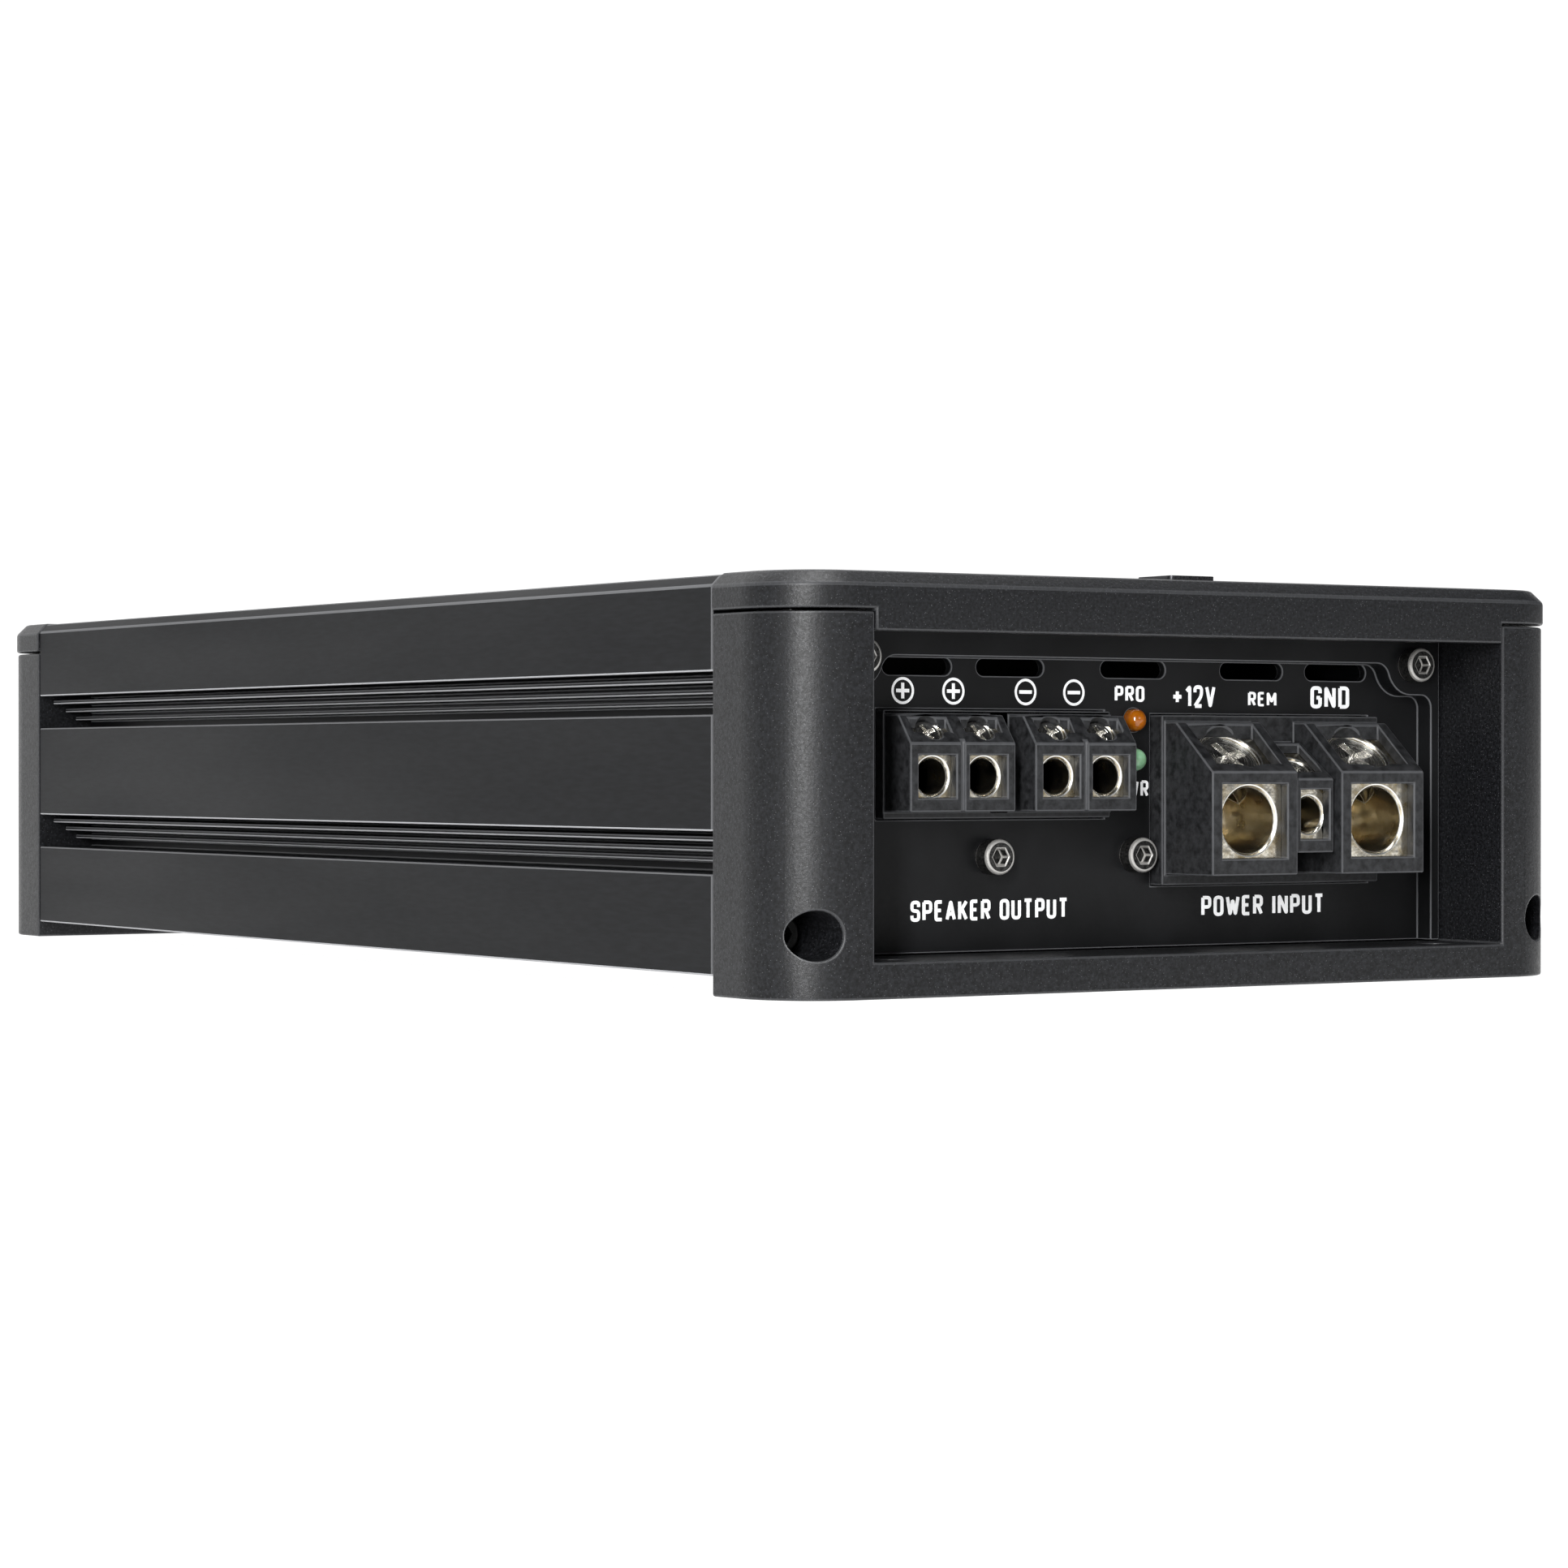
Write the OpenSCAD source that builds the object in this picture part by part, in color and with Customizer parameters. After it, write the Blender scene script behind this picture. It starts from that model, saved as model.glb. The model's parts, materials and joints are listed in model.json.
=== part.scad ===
// Car amplifier: an extruded aluminium case with slotted sides, closed by two cast end
// frames with lift-off caps. One end holds the wire terminals, the other the controls.
//
// X runs across the case, Y along it and Z up. The terminal end faces -Y. The origin is
// the middle of the footprint, on the surface that the amplifier is screwed to.
// Each end is drawn in its own frame, where y is the depth behind that end's outer face
// and x runs to the right for someone who faces it.

/* [Case] */
// Overall width across the end caps
case_w = 152; // [150:1:200]
// Overall length over both end frames
case_l = 300; // [240:1:400]
// Overall height to the top of the end caps
case_h = 62.5; // [61:0.5:80]
// Height of the heatsink's underside above the mounting surface
sink_z = 3; // [2:0.5:3]
// How far the heatsink sits back from the caps, at the sides and the top
sink_inset = 0.4; // [0.2:0.1:1]
// Gap between the heatsink and each end frame
sink_gap = 0.4; // [0.1:0.1:1]
// Chamfer along the heatsink's top edges
sink_chamfer = 1.6; // [0.5:0.1:3]
// Thickness of the heatsink's top
sink_top_t = 4; // [3:0.5:5]
// Distance from the heatsink's outer side to its inner wall
slot_depth = 11; // [9:0.5:12]
// Thickness of the heatsink's inner wall
sink_wall = 3; // [2:0.5:4]
// Height of the lower side slot's bottom edge
low_slot_z = 18; // [17:0.5:20]
// Height of the upper side slot's bottom edge
high_slot_z = 41.6; // [38:0.2:43]
// Height of each side slot
slot_h = 6.35; // [5:0.05:7]
// Thickness of the small fins inside a side slot
slot_fin_t = 0.8; // [0.6:0.1:1]
// Spacing of the fins inside a side slot
slot_fin_pitch = 1.6; // [1.4:0.1:1.7]
// Depth of the grooves along the heatsink's top
top_groove_d = 1.6; // [0.8:0.1:2]
// Width of the grooves along the heatsink's top
top_groove_w = 3; // [1:0.5:4]
// Spacing of the grooves along the heatsink's top
top_groove_pitch = 14; // [10:1:16]

/* [End frames] */
// Depth of an end frame along the case
frame_d = 20.6; // [20.2:0.1:26]
// Radius of the outer corners, seen from above
corner_r = 12.5; // [8:0.5:14]
// Width of each pillar beside the window
pillar_w = 15.5; // [15:0.5:18]
// Height of the rail under the window
rail_h = 5.4; // [4.5:0.1:6]
// Height of an end cap without its apron
cap_t = 5.6; // [4.5:0.1:7]
// Seam between a cap and its frame
cap_seam = 0.4; // [0.2:0.1:0.8]
// How far a cap stands proud of its frame
cap_overhang = 0.2; // [0:0.1:0.6]
// Chamfer round a cap's top edge
cap_chamfer = 2; // [0.5:0.1:2.5]
// How far a cap's apron hangs below the seam
apron_drop = 2.8; // [1:0.1:3]
// Thickness of a cap's apron
apron_t = 3; // [2:0.5:4]
// Thickness of a cap over its inner pocket
cap_skin = 2.6; // [2:0.1:3.5]
// Radius of the access holes low on the pillars
access_r = 3.65; // [3.4:0.05:4]
// Distance of an access hole's centre from the frame's side
access_inset = 6.6; // [6:0.1:7.5]
// Height of an access hole's centre
access_z = 9.4; // [9:0.1:11]
// Depth of an access hole to the screw's seat
access_depth = 14; // [10:0.5:16]
// Radius of the four mounting holes through the rails
mount_r = 2.4; // [2:0.1:3]
// Distance of a mounting hole from the middle of the case
mount_x = 53; // [50:0.5:56]
// Distance of a mounting hole behind the outer face
mount_v = 8; // [6:0.5:10]
// Side of the blank badge on the front cap
badge_w = 8.8; // [6:0.2:14]
// Height of the badge above the cap
badge_t = 0.7; // [0.4:0.1:1.2]

/* [Panels] */
// Depth of a panel's rim behind the outer face
rim_v = 15; // [14:0.1:16]
// Depth of a panel's main face behind the outer face
panel_v = 18.3; // [17.5:0.1:18.6]
// Thickness of a panel
panel_t = 1.5; // [1:0.1:1.5]
// Width of the rim at each side of a panel
rim_w = 1.8; // [1.2:0.1:3]
// Height of the lower edge of a panel's top band
band_z = 50.6; // [50.6:0.1:51]
// Height of the screws in a panel's ears
ear_z = 50.4; // [50:0.1:51]
// Distance of an ear's screw from the panel's side
ear_inset = 6.1; // [5.8:0.1:8]
// Radius of a panel's ears
ear_r = 4.9; // [4.4:0.1:5.2]
// Radius of the blends between an ear and the band
ear_fillet = 2.5; // [1:0.1:3]
// Length of a vent slot
vent_l = 12.6; // [8:0.2:14]
// Height of a vent slot
vent_h = 2.6; // [2:0.1:3]
// Height of the vent slots' middle line
vent_z = 49.1; // [48:0.1:49.2]
// Distance of the inner pair of vent slots from the middle
vent_near_x = 23.6; // [18:0.2:24]
// Distance of the outer pair of vent slots from the middle
vent_far_x = 40.9; // [38:0.1:41]
// Radius of an indicator lamp
lamp_r = 1.75; // [1.4:0.05:2.4]
// Height of the protection lamp
protect_lamp_z = 41.2; // [40:0.1:42]
// Height of the power lamp
power_lamp_z = 35; // [33:0.1:36]

/* [Power terminals] */
// Distance of the power block's middle from the middle of the case
power_x = 25.5; // [25:0.5:27]
// Width of the power block
power_block_w = 43.9; // [43:0.1:45]
// Height of the power block's underside
power_block_z = 15.3; // [14.5:0.1:16]
// Distance of the two main ways from the power block's middle
power_pitch = 12.9; // [12.6:0.05:13.2]
// Width of a main way's tower
power_tower_w = 16.9; // [16.5:0.1:17.2]
// Depth of a main tower's front face behind the outer face
power_front_v = 3.5; // [3:0.1:5]
// Angle of a main tower's sloping top
power_slope = 40; // [36:0.5:42]
// Radius of a main wire bore
power_bore_r = 5.15; // [3.5:0.05:5.2]
// Radius of a main clamp screw
power_screw_r = 4.9; // [3.5:0.1:5]
// Travel of a main clamp screw
power_travel = 6; // [2:0.5:6]
// Width of the remote way's tower
remote_tower_w = 7.4; // [7:0.1:7.6]
// Depth of the remote tower's front face behind the outer face
remote_front_v = 4.6; // [4:0.1:6]
// Angle of the remote tower's sloping top
remote_slope = 35; // [33:0.5:36]

/* [Speaker terminals] */
// Distance of the speaker block's middle from the middle of the case
speaker_x = -27; // [-27.5:0.5:-26]
// Distance between the middles of the two speaker towers
speaker_gap = 22.9; // [22:0.1:23.5]
// Spacing of the two ways in one speaker tower
speaker_pitch = 9.33; // [9.2:0.01:9.6]
// Width of one speaker tower
speaker_tower_w = 19.2; // [19:0.1:19.6]
// Depth of a speaker tower's front face behind the outer face
speaker_front_v = 9.4; // [9:0.1:10]
// Angle of a speaker tower's sloping top
speaker_slope = 52; // [50:0.5:52.5]
// Radius of a speaker wire bore, and of the remote way's
speaker_bore_r = 2.7; // [1.6:0.05:2.7]
// Radius of a speaker clamp screw, and of the remote way's
speaker_screw_r = 2.1; // [1.5:0.1:2.2]
// Travel of a speaker clamp screw, and of the remote way's
speaker_travel = 3.5; // [1:0.5:3.5]

/* [Controls] */
// Radius of a phono socket's shell
phono_r = 4.15; // [4:0.05:4.4]
// How far a phono socket stands out of the rear panel
phono_l = 8.5; // [6:0.5:9]
// Spacing of the phono sockets
phono_pitch = 14; // [12:0.5:16]
// Radius of a trim knob
knob_r = 4.5; // [3:0.1:5]
// How far a trim knob stands out of the rear panel
knob_l = 3.2; // [2:0.1:5]
// Spacing of the trim knobs
knob_pitch = 13.5; // [12:0.5:14]
// Travel of the phase switch's slider
slider_travel = 4; // [2:0.5:4]

/* [Inside] */
// Height of the main board's top
board_z = 13.5; // [12.5:0.1:14]
// Thickness of the circuit boards
board_t = 1.6; // [1.2:0.2:2]
// Outer radius of the power transformer
toroid_r = 23; // [16:0.5:25]
// Height of the power transformer
toroid_h = 20; // [14:0.5:26]
// Radius of a rail capacitor
rail_cap_r = 11; // [8:0.5:12]
// Height of a rail capacitor
rail_cap_h = 36; // [25:1:40]
// Radius of an input capacitor
input_cap_r = 8; // [6:0.5:9]
// Height of an input capacitor
input_cap_h = 31; // [20:1:36]
// Width of a power transistor
transistor_w = 16; // [10:0.5:16]
// Height of a power transistor's body
transistor_h = 20; // [14:0.5:21]

/* [Hidden] */
$fn = 64;

// Clearances
fit = 0.15;          // a part in its seat or cut-out
run = 0.05;          // a running fit, and a screw's shank in its thread
screw_free = 0.2;    // a screw's shank in a plain hole
over = 1;            // how far a cut runs past the face that it opens

// Standard screws: M3 throughout
m3_r = 1.5;
m3_head_r = 2.75;
m3_head_h = 3;
m3_hex_r = 1.45;
m3_csk_r = 2.9;
m3_csk_h = 1.6;

// Case
half_w = case_w / 2;
sink_half_w = half_w - sink_inset;
sink_l = case_l - 2 * (frame_d + sink_gap);
sink_top_z = case_h - sink_inset / 2;
wall_out_x = sink_half_w - slot_depth;
wall_in_x = wall_out_x - sink_wall;
roof_z = sink_top_z - sink_top_t;
slot_count = 2;
slot_fins = 3;
fin_reach = [8.2, 5.6, 3.4];
plate_t = 1.6;
ledge_z = sink_z + 0.4 + plate_t;
ledge_t = 3;
ledge_w = 6;
rail_rib = 2;
rail_rib_t = 1.5;
top_grooves = 8;

// Frames, caps and panels
cap_z = case_h - cap_t;
frame_top_z = cap_z - cap_seam;
frame_half_w = half_w - cap_overhang;
window_half_w = half_w - pillar_w;
access_x = half_w - access_inset;
panel_half_w = window_half_w - 0.4;
panel_bottom_z = rail_h + 0.2;
panel_top_z = frame_top_z - 0.2;
panel_back_v = panel_v + panel_t;
ear_x = panel_half_w - ear_inset;
shelf_z = ear_z - ear_r;
shelf_fillet = 2;
cap_screw_x = half_w - 8;
cap_screw_v = 11;
cap_screw_l = 12;

// Terminals
ridge_v = 12.8;
block_v = panel_v - 2.8;
block_back_v = 30.4;
power_block_top = 42;
speaker_block_z = 26;
speaker_block_top = 42.5;
speaker_block_w = speaker_gap + speaker_tower_w + 0.3;
ground_x = power_x + power_pitch;
positive_x = power_x - power_pitch;
speaker_ways_x = [for (tower = [-1, 1], way = [-1, 1])
  speaker_x + (tower * speaker_gap + way * speaker_pitch) / 2];
bracket_left_x = -34;
bracket_right_x = 4;
bracket_t = 1.2;
bracket_v = panel_back_v;
bracket_top_z = 25;
low_screws = [[-27.4, 20.1], [0, 20.1]];
taper_l = 1.1;
pad_t = 0.8;
leg_t = 1.2;
leg_v = 24.6;

// Controls, in the rear end's frame
phono_x = -44;
phono_z = 22;
phono_front_v = panel_v - phono_l;
phono_neck_v = panel_v - 0.5;
phono_neck_r = phono_r - 0.2;
phono_wall = 0.4;
knobs_x = -11;
knobs_z = 32;
switch_x = 47;
switch_z = 35;
port_x = 47;
port_z = 19.4;
port_w = 10.4;
port_h = 9;
control_board_v = 31.5;
pot_w = 9.6;

// Inside
board_half_w = wall_in_x - 0.2;
board_front_v = frame_d + sink_gap + 0.2;
board_l = case_l - 2 * board_front_v;
transistor_t = 4.6;
strip_t = 0.3;
transistor_gap = 5;
transistors_per_side = 6;
transistor_z = 20;
transistor_row_l = transistors_per_side * (transistor_w + transistor_gap);

// ---- helpers ----

// Extrude a y-z outline from x0 to x1.
module along_x(x0, x1) {
  translate([x0, 0, 0]) rotate([90, 0, 90]) linear_extrude(x1 - x0) children();
}

// Extrude an x-z outline from y0 to y1.
module along_y(y0, y1) {
  translate([0, y1, 0]) rotate([90, 0, 0]) linear_extrude(y1 - y0) children();
}

// A bar with its low corner at p.
module bar(p, size) {
  translate(p) cube(size);
}

// A round bar along y.
module rod_y(x, z, y0, y1, r, fn = 48) {
  translate([x, y0, z]) rotate([-90, 0, 0]) cylinder(r = r, h = y1 - y0, $fn = fn);
}

module at_front() {
  translate([0, -case_l / 2, 0]) children();
}

module at_rear() {
  rotate([0, 0, 180]) at_front() children();
}

module both_ends() {
  at_front() children();
  at_rear() children();
}

module both_sides() {
  for (side = [-1, 1]) scale([side, 1, 1]) children();
}

module slot_outline(l, h) {
  square([l - h, h], center = true);
  for (side = [-1, 1]) translate([side * (l - h) / 2, 0]) circle(d = h);
}

// ---- case ----

module sink_slot(z0) {
  difference() {
    translate([wall_out_x, z0]) square([slot_depth + over, slot_h]);
    for (i = [0 : slot_fins - 1])
      translate([wall_out_x - over, z0 + slot_h - (i + 1) * slot_fin_pitch])
        square([fin_reach[i] + over, slot_fin_t]);
  }
}

module sink_half_outline() {
  difference() {
    polygon([
      [0, roof_z], [wall_in_x, roof_z], [wall_in_x, sink_z], [sink_half_w, sink_z],
      [sink_half_w, sink_top_z - sink_chamfer], [sink_half_w - sink_chamfer, sink_top_z],
      [0, sink_top_z]
    ]);
    sink_slot(low_slot_z);
    sink_slot(high_slot_z);
    translate([access_x, access_z]) circle(r = m3_r + run);
    for (i = [0 : top_grooves / 2 - 1])
      translate([(i + 0.5) * top_groove_pitch - top_groove_w / 2, sink_top_z - top_groove_d])
        square([top_groove_w, top_groove_d + over]);
  }
  // Ledge that the bottom plate is screwed to
  translate([wall_in_x - ledge_w, ledge_z]) square([ledge_w + over, ledge_t]);
  // Ribs that hold the main board's edge
  for (z = [board_z - board_t - fit - rail_rib_t, board_z + fit])
    translate([wall_in_x - rail_rib, z]) square([rail_rib + over, rail_rib_t]);
  // Channel for a panel's ear screw
  difference() {
    union() {
      translate([ear_x, ear_z]) circle(r = m3_r + 1.8);
      translate([ear_x - m3_r - 1.8, ear_z]) square([2 * (m3_r + 1.8), roof_z - ear_z + over]);
    }
    translate([ear_x, ear_z]) circle(r = m3_r + run);
  }
}

module heatsink() color([0.16, 0.165, 0.175]) {
  difference() {
    along_y(-sink_l / 2, sink_l / 2) {
      sink_half_outline();
      mirror([1, 0]) sink_half_outline();
    }
    for (side = [-1, 1], y = plate_screw_ys())
      translate([side * plate_screw_x(), y, ledge_z - over])
        cylinder(r = m3_r + run, h = ledge_t + 2 * over);
  }
}

function plate_screw_x() = wall_in_x - ledge_w / 2;
function plate_screw_ys() = [for (i = [-1, 0, 1]) i * (sink_l / 2 - 14)];

module bottom_plate() color([0.2, 0.2, 0.21]) {
  difference() {
    bar([-wall_in_x + fit, -sink_l / 2 + fit, ledge_z - plate_t],
        [2 * (wall_in_x - fit), sink_l - 2 * fit, plate_t]);
    for (side = [-1, 1], y = plate_screw_ys())
      translate([side * plate_screw_x(), y, ledge_z - plate_t]) {
        translate([0, 0, -over]) cylinder(r = m3_r + screw_free, h = plate_t + 2 * over);
        translate([0, 0, -run]) cylinder(r1 = m3_csk_r + run, r2 = m3_r + run, h = m3_csk_h);
      }
  }
}

module bottom_screws() color([0.1, 0.1, 0.1]) {
  for (side = [-1, 1], y = plate_screw_ys())
    translate([side * plate_screw_x(), y, ledge_z - plate_t]) difference() {
      union() {
        cylinder(r1 = m3_csk_r, r2 = m3_r, h = m3_csk_h);
        cylinder(r = m3_r, h = plate_t + ledge_t);
      }
      for (turn = [0, 90]) rotate([0, 0, turn])
        translate([-1.5, -0.35, -over]) cube([3, 0.7, over + 0.9]);
    }
}

// ---- end frames and caps ----

module plan_outline(half, d, r) {
  intersection() {
    union() {
      translate([-half, r]) square([2 * half, d]);
      translate([-(half - r), 0]) square([2 * (half - r), d]);
      for (side = [-1, 1]) translate([side * (half - r), r]) circle(r = r, $fn = 96);
    }
    translate([-half, 0]) square([2 * half, d]);
  }
}

module end_frame() color([0.13, 0.13, 0.14]) {
  difference() {
    translate([0, cap_overhang, 0]) linear_extrude(frame_top_z)
      plan_outline(frame_half_w, frame_d - cap_overhang, corner_r);
    along_y(-over, frame_d + over) translate([-window_half_w, rail_h])
      square([2 * window_half_w, case_h]);
    for (side = [-1, 1]) {
      rod_y(side * access_x, access_z, -over, access_depth, access_r);
      rod_y(side * access_x, access_z, 0, frame_d + over, m3_r + screw_free);
      translate([side * cap_screw_x, cap_screw_v, frame_top_z - cap_screw_l])
        cylinder(r = m3_r + run, h = cap_screw_l + over);
      translate([side * mount_x, mount_v, -over]) cylinder(r = mount_r, h = rail_h + 2 * over);
    }
  }
}

module front_frame() {
  at_front() end_frame();
}

module rear_frame() {
  at_rear() end_frame();
}

module cap_shell() {
  c = cap_chamfer;
  intersection() {
    union() {
      along_x(-(half_w - corner_r), half_w - corner_r)
        polygon([[0, cap_z], [0, case_h - c], [c, case_h], [frame_d, case_h], [frame_d, cap_z]]);
      for (side = [-1, 1]) translate([side * (half_w - corner_r), corner_r, 0])
        rotate_extrude($fn = 96) polygon([
          [0, cap_z], [corner_r, cap_z], [corner_r, case_h - c], [corner_r - c, case_h],
          [0, case_h]
        ]);
      along_y(corner_r, frame_d) polygon([
        [-half_w, cap_z], [half_w, cap_z], [half_w, case_h - c], [half_w - c, case_h],
        [-half_w + c, case_h], [-half_w, case_h - c]
      ]);
    }
    translate([-half_w, 0, cap_z]) cube([case_w, frame_d, cap_t]);
  }
}

module end_cap() color([0.13, 0.13, 0.14]) {
  pocket_half_w = window_half_w - 2.4;
  difference() {
    union() {
      cap_shell();
      bar([-window_half_w + fit, 0, frame_top_z - apron_drop],
          [2 * (window_half_w - fit), apron_t, apron_drop + cap_seam + over]);
    }
    bar([-pocket_half_w, apron_t, cap_z - over],
        [2 * pocket_half_w, frame_d - apron_t - 1.6, cap_t - cap_skin + over]);
    for (side = [-1, 1]) translate([side * cap_screw_x, cap_screw_v, 0]) {
      translate([0, 0, cap_z - over]) cylinder(r = m3_r + screw_free, h = cap_t + 2 * over);
      translate([0, 0, case_h - m3_csk_h + run])
        cylinder(r1 = m3_r + run, r2 = m3_csk_r + run, h = m3_csk_h);
    }
  }
}

module front_cap() {
  at_front() end_cap();
}

module rear_cap() {
  at_rear() end_cap();
}

module cap_badge() color([0.75, 0.75, 0.77]) {
  at_front() translate([0, 7.4, case_h]) linear_extrude(badge_t) {
    square([badge_w, badge_w - 2], center = true);
    square([badge_w - 2, badge_w], center = true);
    for (a = [-1, 1], b = [-1, 1])
      translate([a, b] * (badge_w / 2 - 1)) circle(r = 1);
  }
}

module cap_screws() color([0.1, 0.1, 0.1]) {
  both_ends() for (side = [-1, 1])
    translate([side * cap_screw_x, cap_screw_v, 0]) difference() {
      union() {
        translate([0, 0, case_h - m3_csk_h]) cylinder(r1 = m3_r, r2 = m3_csk_r, h = m3_csk_h);
        translate([0, 0, frame_top_z - cap_screw_l + over])
          cylinder(r = m3_r, h = case_h - frame_top_z + cap_screw_l - over - 0.2);
      }
      translate([0, 0, case_h - 1]) cylinder(r = 1.15, h = 1 + over, $fn = 6);
    }
}

// A cap screw that lies along +y, with the underside of its head at y0
module socket_screw(x, z, y0, l) {
  translate([x, y0, z]) rotate([-90, 0, 0]) difference() {
    union() {
      translate([0, 0, 0.3 - m3_head_h]) cylinder(r = m3_head_r, h = m3_head_h - 0.3);
      translate([0, 0, -m3_head_h]) cylinder(r1 = m3_head_r - 0.3, r2 = m3_head_r, h = 0.3);
      cylinder(r = m3_r, h = l);
    }
    translate([0, 0, -m3_head_h - over]) cylinder(r = m3_hex_r, h = over + 1.7, $fn = 6);
  }
}

module frame_screws() color([0.1, 0.1, 0.1]) {
  both_ends() for (side = [-1, 1])
    socket_screw(side * access_x, access_z, access_depth, 18);
}

module panel_screws() color([0.1, 0.1, 0.1]) {
  both_ends() for (side = [-1, 1]) socket_screw(side * ear_x, ear_z, rim_v, 16);
  at_front() for (p = low_screws) socket_screw(p[0], p[1], panel_v, 3.4);
}

// ---- panels ----

function arc(centre, r, from, to, n = 8) =
  [for (i = [0 : n]) let(a = from + (to - from) * i / n) centre + r * [cos(a), sin(a)]];

// Rim with its ears: the band on top, an ear round each ear screw and a strip at each side
module rim_outline() {
  inner_x = panel_half_w - rim_w;
  reach = ear_r + ear_fillet;
  blend_z = band_z - ear_fillet;
  tilt = asin((ear_z - blend_z) / reach);
  half = concat(
    [[panel_half_w, panel_top_z], [panel_half_w, panel_bottom_z], [inner_x, panel_bottom_z]],
    arc([inner_x - shelf_fillet, shelf_z - shelf_fillet], shelf_fillet, 0, 90),
    arc([ear_x, ear_z], ear_r, 270, 180 + tilt),
    arc([ear_x - reach * cos(tilt), blend_z], ear_fillet, tilt, 90)
  );
  other_half = [for (i = [1 : len(half)]) let(p = half[len(half) - i]) [-p[0], p[1]]];
  polygon(concat(half, other_half));
}

module blank_panel() {
  difference() {
    union() {
      along_y(rim_v, panel_back_v) rim_outline();
      along_y(panel_v, panel_back_v) translate([-panel_half_w, panel_bottom_z])
        square([2 * panel_half_w, panel_top_z - panel_bottom_z]);
    }
    for (side = [-1, 1])
      rod_y(side * ear_x, ear_z, rim_v - over, panel_back_v + over, m3_r + screw_free);
    along_y(panel_v - over, panel_back_v + over)
      for (x = [-vent_far_x, -vent_near_x, 0, vent_near_x, vent_far_x])
        translate([x, vent_z]) slot_outline(vent_l, vent_h);
  }
}

module front_panel() color([0.1, 0.1, 0.105]) {
  at_front() difference() {
    blank_panel();
    along_y(panel_v - over, panel_back_v + over) {
      translate([power_x - power_block_w / 2 - fit, power_block_z - fit])
        square([power_block_w + 2 * fit, power_block_top - power_block_z + 2 * fit]);
      translate([speaker_x - speaker_block_w / 2 - fit, speaker_block_z - fit])
        square([speaker_block_w + 2 * fit, speaker_block_top - speaker_block_z + 2 * fit]);
      for (z = [protect_lamp_z, power_lamp_z]) translate([0, z]) circle(r = lamp_r + run);
      for (p = low_screws) translate(p) circle(r = m3_r + screw_free);
    }
  }
}

module rear_panel() color([0.1, 0.1, 0.105]) {
  at_rear() difference() {
    blank_panel();
    along_y(panel_v - over, panel_back_v + over) {
      for (p = phono_points()) translate(p) circle(r = phono_r + fit);
      for (i = [0 : 3]) translate([knobs_x + i * knob_pitch, knobs_z]) circle(r = knob_r + 0.4);
      translate([switch_x, switch_z]) square([5, slider_travel + 5], center = true);
      translate([port_x, port_z]) square([port_w, port_h], center = true);
    }
  }
}

// ---- terminals ----
//
// Each kind of way sets these values for the modules that draw it:
//   $front   depth of the tower's front face       $z0, $z1   heights of that face
//   $slope   angle of the sloping top              $bore_z    height of the wire bore
//   $bore_r  radius of the wire bore               $screw_r   radius of the clamp screw
//   $seat    depth of the barrel behind the face   $barrel_w  width of the barrel
//   $mouth   width and heights of the tower's mouth
//   $lid     thickness of the tower over the barrel, square to the slope
//   $bore_v  depth where the bore's round end starts
//   $screw_v where the clamp screw's axis meets the slope, as a depth
//   $sunk    depth of the open screw's top below the slope
//   $thread  length of the screw's full-width part
//   $travel  how far the screw moves in

module power_way() {
  let($front = power_front_v, $z0 = 17, $z1 = 33.1, $slope = power_slope, $bore_z = 25.5,
      $bore_r = power_bore_r, $screw_r = power_screw_r, $seat = 1.65, $barrel_w = 14.4,
      $mouth = [12.8, 19.6, 31.2], $lid = 1.8, $bore_v = 22, $screw_v = 8.4, $sunk = 2.4,
      $thread = 1.7, $travel = power_travel)
    children();
}

module remote_way() {
  let($front = remote_front_v, $z0 = 20.4, $z1 = 32, $slope = remote_slope, $bore_z = 26.3,
      $bore_r = speaker_bore_r, $screw_r = speaker_screw_r, $seat = 1.7, $barrel_w = 6.3,
      $mouth = [5.7, 22.5, 30.3], $lid = 1.2, $bore_v = 23.4, $screw_v = 8.7, $sunk = 1.6,
      $thread = 3, $travel = speaker_travel)
    children();
}

module speaker_way() {
  let($front = speaker_front_v, $z0 = 27.1, $z1 = 37.4, $slope = speaker_slope,
      $bore_z = 32.4, $bore_r = speaker_bore_r, $screw_r = speaker_screw_r, $seat = 1.5,
      $barrel_w = 7.6, $mouth = [6.8, 29.2, 35.6], $lid = 1, $bore_v = 23.4,
      $screw_v = 11.3, $sunk = 1.3, $thread = 3, $travel = speaker_travel)
    children();
}

function slope_z(v) = $z1 + (v - $front) * tan($slope);
function lid_z(v) = slope_z(v) - $lid / cos($slope);
function barrel_v() = $front + $seat;
function barrel_back_v() = $bore_v + $bore_r + 1.3;
function barrel_z0() = $bore_z - $bore_r - 1.2;
function pad_r() = $screw_r * 0.6;
function stub_r() = $screw_r * 0.28;

// Put children on a clamp screw's axis, with +z out of the thread
module on_screw_axis(x) {
  translate([x, $screw_v, slope_z($screw_v)]) rotate([$slope, 0, 0]) children();
}

module barrel_outline(gap) {
  polygon([
    [barrel_v() - gap, barrel_z0() - gap], [barrel_v() - gap, lid_z(barrel_v() - gap) + gap],
    [ridge_v, lid_z(ridge_v) + gap], [barrel_back_v() + gap, lid_z(ridge_v) + gap],
    [barrel_back_v() + gap, barrel_z0() - gap]
  ]);
}

module tower_outline() {
  polygon([
    [$front, $z0], [$front, $z1], [ridge_v, slope_z(ridge_v)],
    [panel_v, slope_z(ridge_v)], [panel_v, $z0]
  ]);
}

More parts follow.
